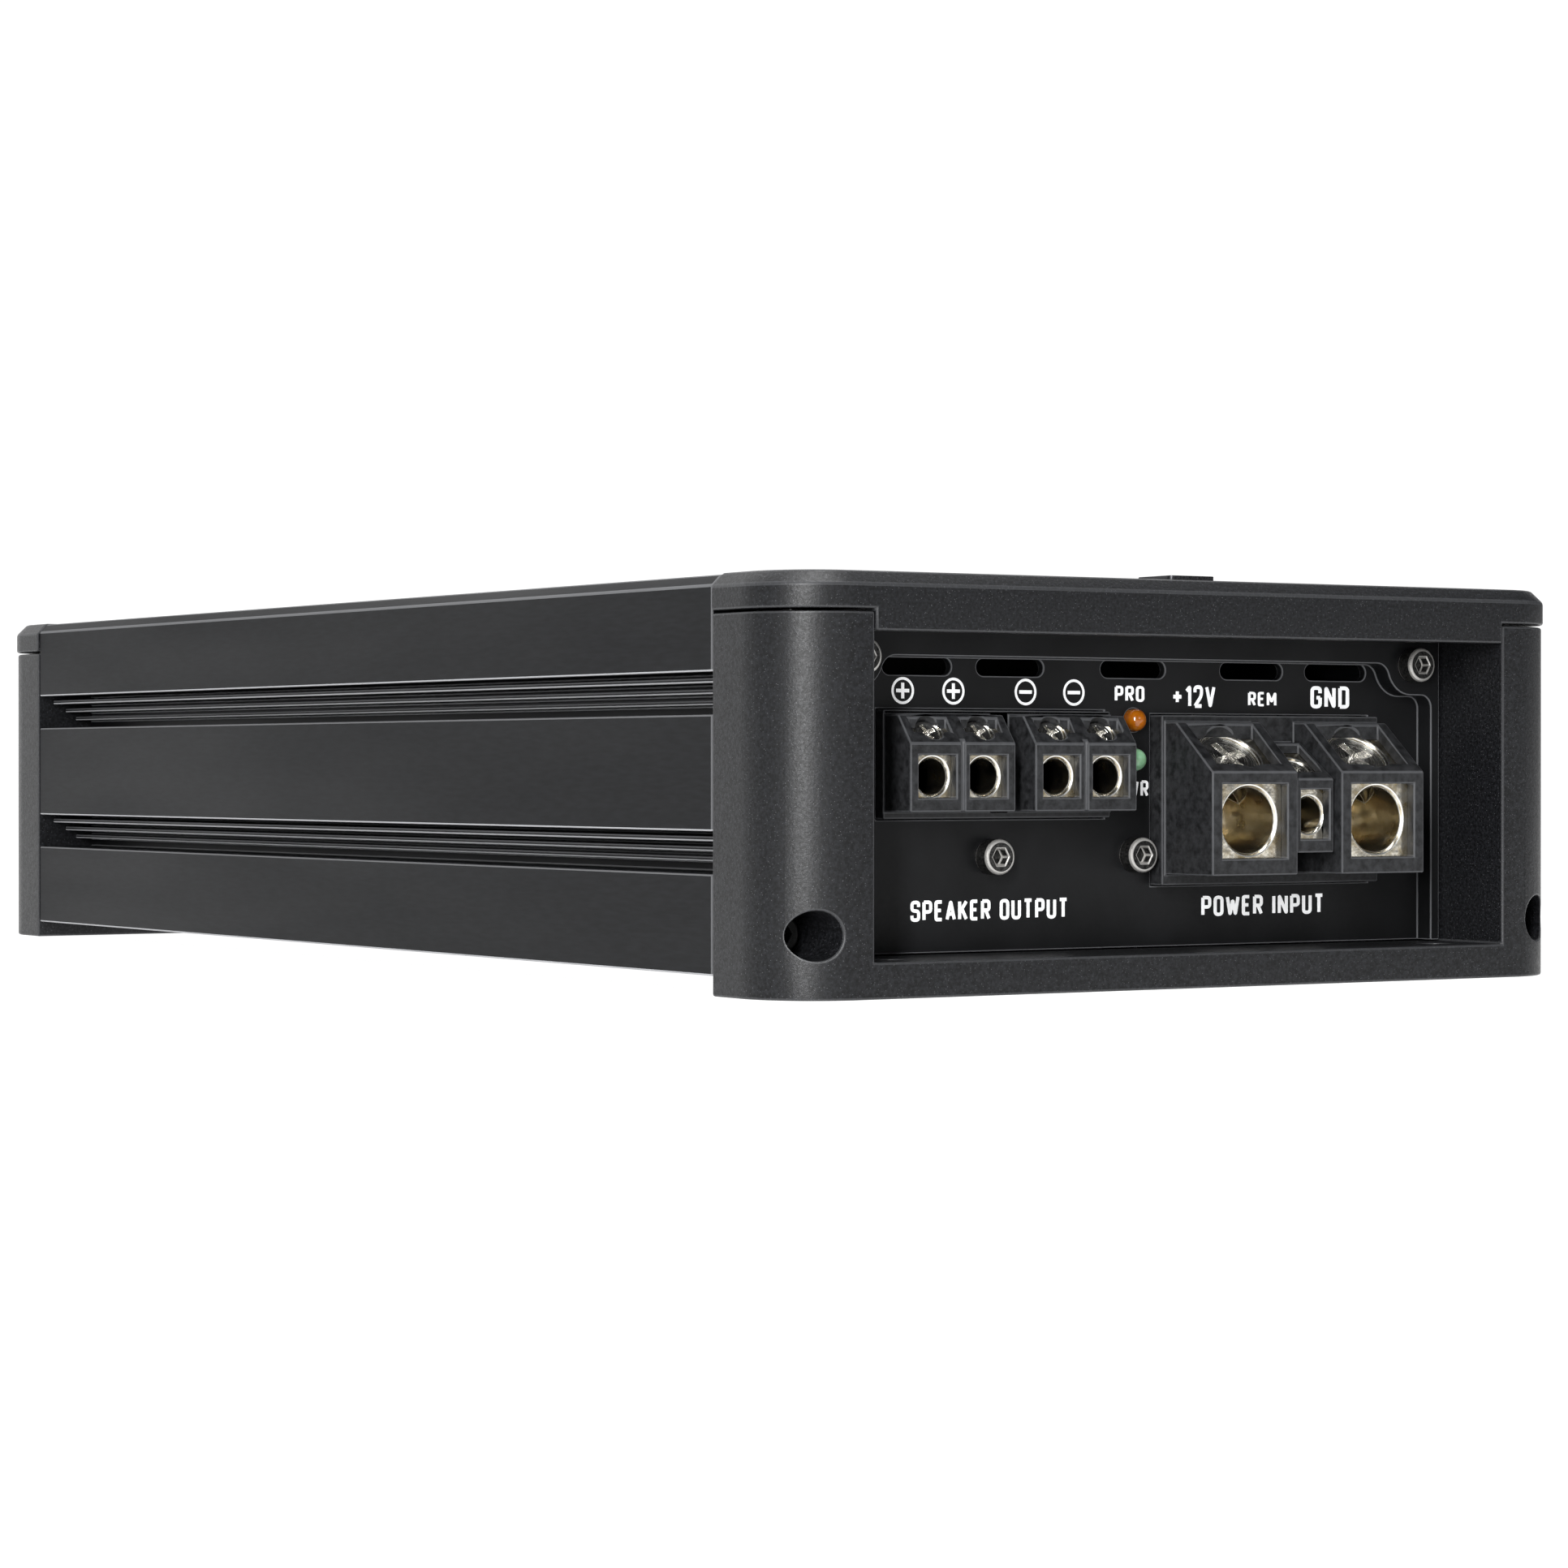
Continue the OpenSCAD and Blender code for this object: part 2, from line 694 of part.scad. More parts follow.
// What a way takes out of its block: the mouth, the screw's window and the barrel's seat
module way_cuts(x) {
  half_mouth = $mouth[0] / 2;
  window_v = $front + $seat - 0.2;
  bar([x - half_mouth, $front - over, $mouth[1]],
      [$mouth[0], $seat + 2 * over, $mouth[2] - $mouth[1]]);
  along_x(x - half_mouth, x + half_mouth) polygon([
    [window_v, lid_z(window_v)], [window_v, case_h], [ridge_v - 0.4, case_h],
    [ridge_v - 0.4, lid_z(ridge_v - 0.4)]
  ]);
  on_screw_axis(x) translate([0, 0, -($sunk + $thread)])
    cylinder(r = $screw_r + fit, h = $sunk + $thread + 2);
  along_x(x - $barrel_w / 2 - run, x + $barrel_w / 2 + run) barrel_outline(run);
  bar([x - $barrel_w / 2 - run, leg_v - fit, board_z - over],
      [$barrel_w + 2 * run, leg_t + 2 * fit, barrel_z0() - board_z + over]);
}

// Threaded hole for a clamp screw, with room for its tip and pad at full travel
module screw_hole() {
  thread_end = $sunk + $thread + $travel + fit;
  pad_end = thread_end + taper_l + pad_t + fit;
  translate([0, 0, -thread_end]) cylinder(r = $screw_r + run, h = thread_end + over);
  translate([0, 0, -thread_end - taper_l])
    cylinder(r1 = pad_r() + fit, r2 = $screw_r + run, h = taper_l);
  translate([0, 0, -pad_end]) cylinder(r = pad_r() + fit, h = pad_end);
  translate([0, 0, -($lid + 0.4)])
    cylinder(r1 = $screw_r + run, r2 = $screw_r + 1.6, h = 1.6);
}

module barrel(x) color([0.78, 0.76, 0.7]) {
  at_front() {
    difference() {
      along_x(x - $barrel_w / 2, x + $barrel_w / 2) barrel_outline(0);
      rod_y(x, $bore_z, barrel_v() - over, $bore_v, $bore_r, 64);
      translate([x, $bore_v, $bore_z]) sphere(r = $bore_r, $fn = 48);
      translate([x, barrel_v() - run, $bore_z]) rotate([-90, 0, 0])
        cylinder(r1 = $bore_r + 0.45, r2 = $bore_r, h = 0.45 + run);
      on_screw_axis(x) screw_hole();
    }
    bar([x - $barrel_w / 4, leg_v, board_z - board_t - 1.4],
        [$barrel_w / 2, leg_t, barrel_z0() - board_z + board_t + 2]);
  }
}

module clamp_screw(x) color([0.8, 0.79, 0.75]) {
  at_front() on_screw_axis(x) difference() {
    union() {
      translate([0, 0, -($sunk + $thread)]) cylinder(r = $screw_r, h = $thread);
      translate([0, 0, -($sunk + $thread + taper_l)])
        cylinder(r1 = pad_r(), r2 = $screw_r, h = taper_l);
    }
    for (turn = [0, 90]) rotate([0, 0, turn + 20])
      translate([-$screw_r * 0.72, -$screw_r * 0.16, -($sunk + 1.1)])
        cube([$screw_r * 1.44, $screw_r * 0.32, 1.1 + over]);
    translate([0, 0, -($sunk + $thread + taper_l + over)])
      cylinder(r = stub_r() + run, h = over + 1);
  }
}

module pressure_pad(x) color([0.7, 0.69, 0.66]) {
  at_front() on_screw_axis(x) {
    translate([0, 0, -($sunk + $thread + taper_l + run + pad_t)]) {
      cylinder(r = pad_r(), h = pad_t);
      cylinder(r = stub_r(), h = pad_t + 0.85);
    }
  }
}

module power_terminal_block() color([0.12, 0.12, 0.125]) {
  left_x = power_x - power_block_w / 2;
  at_front() difference() {
    union() {
      bar([left_x, block_v, power_block_z],
          [power_block_w, block_back_v - block_v, power_block_top - power_block_z]);
      bar([left_x, panel_back_v + 2.4, board_z],
          [power_block_w, block_back_v - panel_back_v - 2.4, power_block_z - board_z + over]);
      power_way() for (x = [positive_x, ground_x])
        along_x(x - power_tower_w / 2, x + power_tower_w / 2) tower_outline();
      remote_way() along_x(power_x - remote_tower_w / 2, power_x + remote_tower_w / 2)
        tower_outline();
    }
    power_way() for (x = [positive_x, ground_x]) way_cuts(x);
    remote_way() way_cuts(power_x);
  }
}

module speaker_terminal_block() color([0.12, 0.12, 0.125]) {
  left_x = speaker_x - speaker_block_w / 2;
  foot_v = panel_back_v + 2.4;
  groove = 0.5;
  at_front() speaker_way() difference() {
    union() {
      bar([left_x, block_v + 1, speaker_block_z],
          [speaker_block_w, block_back_v - block_v - 1, speaker_block_top - speaker_block_z]);
      bar([left_x, foot_v, board_z],
          [speaker_block_w, block_back_v - foot_v, speaker_block_z - board_z + over]);
      for (tower = [-1, 1]) {
        x = speaker_x + tower * speaker_gap / 2;
        along_x(x - speaker_tower_w / 2, x + speaker_tower_w / 2) tower_outline();
      }
    }
    for (x = speaker_ways_x) way_cuts(x);
    for (tower = [-1, 1])
      bar([speaker_x + tower * speaker_gap / 2 - groove / 2, $front - over, $z0 - over],
          [groove, over + 0.4, $z1 - $z0 + 2 * over]);
  }
}

module lamp(z) {
  at_front() {
    rod_y(0, z, panel_v - 0.6, panel_back_v + 3, lamp_r, 40);
    translate([0, panel_v - 0.6, z]) sphere(r = lamp_r, $fn = 40);
  }
}

module protect_lamp() color([0.75, 0.36, 0.05]) {
  lamp(protect_lamp_z);
}

module power_lamp() color([0.45, 0.62, 0.45]) {
  lamp(power_lamp_z);
}

// ---- controls ----

function phono_points() = [for (i = [0, 1], j = [0, 1])
  [phono_x + i * phono_pitch, phono_z + j * phono_pitch]];

module phono_block() color([0.12, 0.12, 0.12]) {
  margin = 6.4;
  at_rear() difference() {
    bar([phono_x - margin, panel_back_v + fit, phono_z - margin],
        [phono_pitch + 2 * margin, control_board_v - panel_back_v - 2 * fit,
         phono_pitch + 2 * margin]);
    for (p = phono_points())
      rod_y(p[0], p[1], panel_back_v - over, control_board_v - 3, phono_neck_r + run);
  }
}

module phono_shells() color([0.8, 0.68, 0.35]) {
  at_rear() for (p = phono_points()) difference() {
    union() {
      rod_y(p[0], p[1], phono_front_v, phono_neck_v, phono_r);
      rod_y(p[0], p[1], phono_neck_v - 1, control_board_v - 3.2, phono_neck_r);
    }
    rod_y(p[0], p[1], phono_front_v - over, control_board_v - 4, phono_neck_r - phono_wall);
  }
}

module phono_insulators(points) {
  at_rear() for (p = points) difference() {
    rod_y(p[0], p[1], phono_front_v + 0.3, control_board_v - 4.1,
      phono_neck_r - phono_wall - run);
    rod_y(p[0], p[1], phono_front_v - over, control_board_v - 6, 1.6);
  }
}

module phono_left_insulators() color([0.9, 0.9, 0.88]) {
  phono_insulators([for (p = phono_points()) if (p[1] > phono_z) p]);
}

module phono_right_insulators() color([0.7, 0.08, 0.06]) {
  phono_insulators([for (p = phono_points()) if (p[1] == phono_z) p]);
}

module trim_pots() color([0.15, 0.25, 0.4]) {
  at_rear() for (i = [0 : 3]) {
    x = knobs_x + i * knob_pitch;
    bar([x - pot_w / 2, panel_back_v + 2.6, knobs_z - pot_w / 2],
        [pot_w, control_board_v - panel_back_v - 2.6, pot_w]);
    rod_y(x, knobs_z, panel_back_v - 0.6, panel_back_v + 2.7, 1.6, 32);
  }
}

module knob(i) color([0.08, 0.08, 0.08]) {
  x = knobs_x + i * knob_pitch;
  front = panel_v - knob_l;
  at_rear() difference() {
    union() {
      rod_y(x, knobs_z, front + 0.5, panel_back_v + 2.2, knob_r);
      translate([x, front, knobs_z]) rotate([-90, 0, 0])
        cylinder(r1 = knob_r - 0.5, r2 = knob_r, h = 0.5);
    }
    bar([x - 0.5, front - over, knobs_z - knob_r * 0.2], [1, over + 1.4, knob_r * 1.4]);
    rod_y(x, knobs_z, panel_back_v - 0.8, panel_back_v + 3, 1.6 + run, 32);
  }
}

module level_knob() {
  knob(0);
}

module low_pass_knob() {
  knob(1);
}

module subsonic_knob() {
  knob(2);
}

module bass_boost_knob() {
  knob(3);
}

module switch_body() color([0.6, 0.6, 0.62]) {
  at_rear() difference() {
    bar([switch_x - 4.5, panel_back_v + 0.4, switch_z - 8],
        [9, control_board_v - panel_back_v - 0.4, 16]);
    bar([switch_x - 2.1, panel_back_v - over, switch_z - slider_travel / 2 - 2.3],
        [4.2, over + 5, slider_travel + 4.6]);
  }
}

module phase_slider() color([0.05, 0.05, 0.05]) {
  at_rear() {
    bar([switch_x - 1.9, panel_back_v + 0.2, switch_z - slider_travel / 2 - 2],
        [3.8, 4.8, 4]);
    bar([switch_x - 1.5, panel_v - 1.6, switch_z - slider_travel / 2 - 1.4],
        [3, panel_t + 2, 2.8]);
  }
}

module level_remote_port() color([0.1, 0.1, 0.1]) {
  at_rear() difference() {
    bar([port_x - port_w / 2 + fit, panel_v - 0.6, port_z - port_h / 2 + fit],
        [port_w - 2 * fit, control_board_v - panel_v + 0.6, port_h - 2 * fit]);
    bar([port_x - port_w / 2 + 1.3, panel_v - 0.6 - over, port_z - 1.9],
        [port_w - 2.6, over + 9, 4.9]);
    bar([port_x - 2.2, panel_v - 0.6 - over, port_z - port_h / 2 + 1.2],
        [4.4, over + 9, 3]);
  }
}

module control_board() color([0.05, 0.3, 0.14]) {
  top_z = ear_z - m3_r - 2.4;
  half = board_half_w - 6;
  at_rear() difference() {
    bar([-half, control_board_v, board_z], [2 * half, board_t, top_z - board_z]);
    for (p = phono_points()) rod_y(p[0], p[1], control_board_v - over,
      control_board_v + board_t + over, 0.9, 24);
  }
}

// ---- inside ----

module main_board() color([0.05, 0.3, 0.14]) {
  at_front() difference() {
    bar([-board_half_w, board_front_v, board_z - board_t], [2 * board_half_w, board_l, board_t]);
    power_way() for (x = [positive_x, ground_x]) leg_slot(x);
    remote_way() leg_slot(power_x);
    speaker_way() for (x = speaker_ways_x) leg_slot(x);
  }
}

module leg_slot(x) {
  bar([x - $barrel_w / 4 - fit, leg_v - fit, board_z - board_t - over],
      [$barrel_w / 2 + 2 * fit, leg_t + 2 * fit, board_t + 2 * over]);
}

module board_bracket() color([0.7, 0.7, 0.72]) {
  foot_x = speaker_x + speaker_block_w / 2 + 1;
  foot_w = power_x - power_block_w / 2 - 1 - foot_x;
  at_front() difference() {
    union() {
      bar([bracket_left_x, bracket_v, board_z],
          [bracket_right_x - bracket_left_x - 1, bracket_t, bracket_top_z - board_z]);
      bar([foot_x, bracket_v, board_z], [foot_w, 12, bracket_t]);
    }
    for (p = low_screws)
      rod_y(p[0], p[1], bracket_v - over, bracket_v + bracket_t + over, m3_r + run);
  }
}

// A ring with rounded edges, standing on z = 0
module ring(r_out, r_in, h, edge) {
  rotate_extrude($fn = 72) {
    translate([r_in + edge, 0]) square([r_out - r_in - 2 * edge, h]);
    translate([r_in, edge]) square([r_out - r_in, h - 2 * edge]);
    for (x = [r_in + edge, r_out - edge], z = [edge, h - edge])
      translate([x, z]) circle(r = edge, $fn = 32);
  }
}

// Flat copper turns round a ring of that size
module turns(r_out, r_in, h, count, wire_t) {
  for (i = [0 : count - 1]) rotate([0, 0, i * 360 / count])
    along_y(-wire_t, wire_t) difference() {
      translate([r_in - wire_t, -wire_t]) square([r_out - r_in + 2 * wire_t, h + 2 * wire_t]);
      translate([r_in + wire_t, wire_t]) square([r_out - r_in - 2 * wire_t, h - 2 * wire_t]);
    }
}

module power_transformer() color([0.7, 0.35, 0.15]) {
  inner = toroid_r * 0.42;
  at_front() translate([22, 82, board_z + 1.1]) {
    ring(toroid_r - 1, inner + 1, toroid_h, 0.6);
    turns(toroid_r - 1, inner + 1, toroid_h, 22, 0.8);
  }
}

module output_inductor() color([0.25, 0.25, 0.27]) {
  side = 30;
  tall = 24;
  at_front() translate([-27, 62, board_z]) {
    difference() {
      translate([-side / 2, -side / 2, 0]) cube([side, side, tall]);
      translate([0, 0, 4]) difference() {
        cylinder(r = side / 2 - 1.5, h = tall - 8);
        translate([0, 0, -over]) cylinder(r = 6, h = tall);
      }
      for (turn = [0, 90]) rotate([0, 0, turn])
        translate([-side, -side / 4, 4]) cube([2 * side, side / 2, tall - 8]);
    }
    translate([0, 0, 3]) cylinder(r = side / 2 - 2.6, h = tall - 6);
  }
}

module capacitor(r, h) {
  rotate_extrude($fn = 48) polygon([
    [0, 0], [r - 0.6, 0], [r - 0.6, 0.8], [r, 1.4], [r, 2.4], [r - 0.7, 3], [r - 0.7, 3.6],
    [r, 4.2], [r, h - 1], [r - 1, h], [r - 1.6, h], [r - 1.6, h - 0.5], [0, h - 0.5]
  ]);
}

module input_capacitors() color([0.12, 0.14, 0.2]) {
  at_front() for (i = [0 : 2])
    translate([4 + i * (2 * input_cap_r + 2), 44, board_z]) capacitor(input_cap_r, input_cap_h);
}

module rail_capacitors() color([0.1, 0.1, 0.12]) {
  at_rear() for (i = [-1, 1], j = [0, 1])
    translate([i * (rail_cap_r + 1.5), 64 + j * (2 * rail_cap_r + 3), board_z])
      capacitor(rail_cap_r, rail_cap_h);
}

function transistor_y(i) =
  (i - (transistors_per_side - 1) / 2) * (transistor_w + transistor_gap);

module power_transistors() color([0.1, 0.1, 0.1]) {
  face_x = wall_in_x - strip_t;
  both_sides() for (i = [0 : transistors_per_side - 1]) {
    y = transistor_y(i);
    bar([face_x - transistor_t, y - transistor_w / 2, transistor_z],
        [transistor_t, transistor_w, transistor_h]);
    for (k = [-1, 0, 1])
      bar([face_x - transistor_t + 0.8, y + k * 5 - 0.6, board_z],
          [0.7, 1.2, transistor_z - board_z + over]);
  }
}

module insulator_strips() color([0.75, 0.75, 0.78]) {
  both_sides() bar([wall_in_x - strip_t, -transistor_row_l / 2, transistor_z - 1],
    [strip_t, transistor_row_l, transistor_h + 2]);
}

module clamp_bars() color([0.55, 0.55, 0.57]) {
  bar_t = 3;
  both_sides() difference() {
    bar([wall_in_x - strip_t - transistor_t - bar_t, -transistor_row_l / 2, transistor_z + 7],
        [bar_t, transistor_row_l, 8]);
    for (i = [0 : transistors_per_side - 2])
      translate([0, transistor_y(i) + (transistor_w + transistor_gap) / 2, transistor_z + 11])
        rotate([0, 90, 0]) cylinder(r = m3_r, h = case_w, $fn = 32);
  }
}

// ---- nodes ----

heatsink();
bottom_plate();
front_frame();
rear_frame();
front_cap();
rear_cap();
cap_badge();
front_panel();
rear_panel();
frame_screws();
cap_screws();
panel_screws();
bottom_screws();
power_terminal_block();
speaker_terminal_block();
power_way() barrel(positive_x);  // positive_barrel
power_way() barrel(ground_x);  // ground_barrel
remote_way() barrel(power_x);  // remote_barrel
speaker_way() barrel(speaker_ways_x[0]);  // speaker_barrel_1
speaker_way() barrel(speaker_ways_x[1]);  // speaker_barrel_2
speaker_way() barrel(speaker_ways_x[2]);  // speaker_barrel_3
speaker_way() barrel(speaker_ways_x[3]);  // speaker_barrel_4
power_way() clamp_screw(positive_x);  // positive_clamp_screw
power_way() clamp_screw(ground_x);  // ground_clamp_screw
remote_way() clamp_screw(power_x);  // remote_clamp_screw
speaker_way() clamp_screw(speaker_ways_x[0]);  // speaker_clamp_screw_1
speaker_way() clamp_screw(speaker_ways_x[1]);  // speaker_clamp_screw_2
speaker_way() clamp_screw(speaker_ways_x[2]);  // speaker_clamp_screw_3
speaker_way() clamp_screw(speaker_ways_x[3]);  // speaker_clamp_screw_4
power_way() pressure_pad(positive_x);  // positive_pressure_pad
power_way() pressure_pad(ground_x);  // ground_pressure_pad
remote_way() pressure_pad(power_x);  // remote_pressure_pad
speaker_way() pressure_pad(speaker_ways_x[0]);  // speaker_pressure_pad_1
speaker_way() pressure_pad(speaker_ways_x[1]);  // speaker_pressure_pad_2
speaker_way() pressure_pad(speaker_ways_x[2]);  // speaker_pressure_pad_3
speaker_way() pressure_pad(speaker_ways_x[3]);  // speaker_pressure_pad_4
protect_lamp();
power_lamp();
phono_block();
phono_shells();
phono_left_insulators();
phono_right_insulators();
trim_pots();
level_knob();
low_pass_knob();
subsonic_knob();
bass_boost_knob();
switch_body();
phase_slider();
level_remote_port();
control_board();
main_board();
board_bracket();
power_transformer();
output_inductor();
input_capacitors();
rail_capacitors();
power_transistors();
clamp_bars();
insulator_strips();
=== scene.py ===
"""Car amplifier: finishes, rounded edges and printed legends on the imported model."""
import json
import math

import bmesh
import bpy
from bpy.props import FloatProperty, FloatVectorProperty, PointerProperty
from mathutils import Matrix, Vector


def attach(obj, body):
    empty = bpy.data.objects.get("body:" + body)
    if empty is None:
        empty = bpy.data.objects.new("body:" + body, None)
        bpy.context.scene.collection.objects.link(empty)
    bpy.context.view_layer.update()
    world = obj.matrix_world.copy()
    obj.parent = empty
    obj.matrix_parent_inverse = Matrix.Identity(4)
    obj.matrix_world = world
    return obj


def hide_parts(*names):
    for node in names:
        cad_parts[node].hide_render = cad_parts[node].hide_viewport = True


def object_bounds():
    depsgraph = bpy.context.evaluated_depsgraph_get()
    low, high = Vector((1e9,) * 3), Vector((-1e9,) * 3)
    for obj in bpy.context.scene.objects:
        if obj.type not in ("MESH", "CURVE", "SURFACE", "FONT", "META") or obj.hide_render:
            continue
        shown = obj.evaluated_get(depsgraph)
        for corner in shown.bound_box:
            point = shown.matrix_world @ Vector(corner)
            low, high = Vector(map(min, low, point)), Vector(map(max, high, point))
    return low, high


bl_info = {
    "name": "Car amplifier",
    "version": (1, 0, 0),
    "blender": (4, 5, 0),
    "location": "View3D > Sidebar > Amplifier",
    "description": "Dresses the amplifier's parts and sets up its studio",
    "category": "Object",
}

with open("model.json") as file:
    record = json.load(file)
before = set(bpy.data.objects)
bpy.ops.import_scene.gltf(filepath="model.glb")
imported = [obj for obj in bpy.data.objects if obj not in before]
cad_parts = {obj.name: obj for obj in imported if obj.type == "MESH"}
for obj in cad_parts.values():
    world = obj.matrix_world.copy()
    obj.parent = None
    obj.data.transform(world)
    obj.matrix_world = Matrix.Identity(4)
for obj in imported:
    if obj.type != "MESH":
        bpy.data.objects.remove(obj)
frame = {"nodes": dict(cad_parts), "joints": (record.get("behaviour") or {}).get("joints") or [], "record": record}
CAD_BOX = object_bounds()
MM = 0.001
SLOT_OF = {part["node"]: part["material_slot"] for part in frame["record"]["subparts"]}
BODY_OF = {
    node: body
    for body, nodes in frame["record"]["behaviour"]["bodies"].items()
    for node in nodes
}
JOINTS = {joint["child"]: joint for joint in frame["joints"]}
WAYS = ["positive", "ground", "remote"] + [f"speaker_{i}" for i in (1, 2, 3, 4)]
KNOBS = ["level", "low_pass", "subsonic", "bass_boost"]


def part_of(way, part):
    """Name of a way's barrel, clamp_screw or pressure_pad node."""
    if way.startswith("speaker_"):
        return f"speaker_{part}_{way[-1]}"
    return f"{way}_{part}"


# ---- settings ----


def colour_setting(name, description, default):
    return FloatVectorProperty(
        name=name,
        description=description,
        default=default,
        subtype="COLOR",
        size=3,
        min=0.0,
        max=1.0,
    )


def length_setting(name, description, default):
    return FloatProperty(
        name=name,
        description=description,
        default=default,
        min=0.0,
        unit="LENGTH",
        precision=5,
    )


class AmplifierSizes(bpy.types.PropertyGroup):
    case_round: length_setting(
        "Case edges", "Rounding of the end frames' and caps' edges", 0.00035
    )
    sink_round: length_setting(
        "Heatsink edges", "Rounding of the heatsink's edges", 0.00028
    )
    panel_round: length_setting("Panel edges", "Rounding of the panels' edges", 0.0002)
    block_round: length_setting(
        "Terminal block edges", "Rounding of the terminal blocks' edges", 0.00025
    )
    metal_round: length_setting(
        "Barrel edges", "Rounding of the barrels' and screws' edges", 0.00012
    )
    ink_height: length_setting(
        "Ink thickness", "How far the printed legends stand off the panel", 0.00004
    )
    ring_outer: length_setting("Ring size", "Radius of a polarity ring", 0.00205)
    ring_line: length_setting(
        "Ring line", "Line width of a polarity ring and its sign", 0.0004
    )


class AmplifierColours(bpy.types.PropertyGroup):
    sink: colour_setting("Heatsink", "Anodised aluminium", (0.0045, 0.0048, 0.0057))
    coat: colour_setting("End frames", "Powder coat", (0.007, 0.0073, 0.0084))
    panel: colour_setting("Panels", "Satin paint", (0.006, 0.0062, 0.0068))
    plastic: colour_setting("Terminal blocks", "Moulded plastic", (0.013, 0.0134, 0.0145))
    nickel: colour_setting("Barrels", "Nickel plating", (0.78, 0.74, 0.64))
    ink: colour_setting("Legends", "Printed ink", (0.86, 0.87, 0.88))
    amber: colour_setting("Protection lamp", "Amber lens", (0.36, 0.1, 0.003))
    green: colour_setting("Power lamp", "Green lens", (0.28, 0.55, 0.32))
    stage: colour_setting("Stage", "Floor and backdrop", (0.93, 0.93, 0.93))


class AmplifierStage(bpy.types.PropertyGroup):
    camera_place: FloatVectorProperty(
        name="Camera place",
        description="Where the camera stands",
        default=(-0.3961, -0.6553, 0.03387),
        subtype="TRANSLATION",
        size=3,
        unit="LENGTH",
    )
    camera_heading: FloatProperty(
        name="Camera heading",
        description="Direction of view, turned from +Y towards +X",
        default=math.radians(32.33),
        subtype="ANGLE",
        unit="ROTATION",
    )
    camera_dip: FloatProperty(
        name="Camera dip",
        description="How far the camera looks down",
        default=math.radians(0.235),
        subtype="ANGLE",
        unit="ROTATION",
    )
    focal_length: FloatProperty(
        name="Focal length",
        description="Focal length in millimetres on a 36 mm sensor",
        default=95.89,
        min=10.0,
    )


# ---- finishes ----


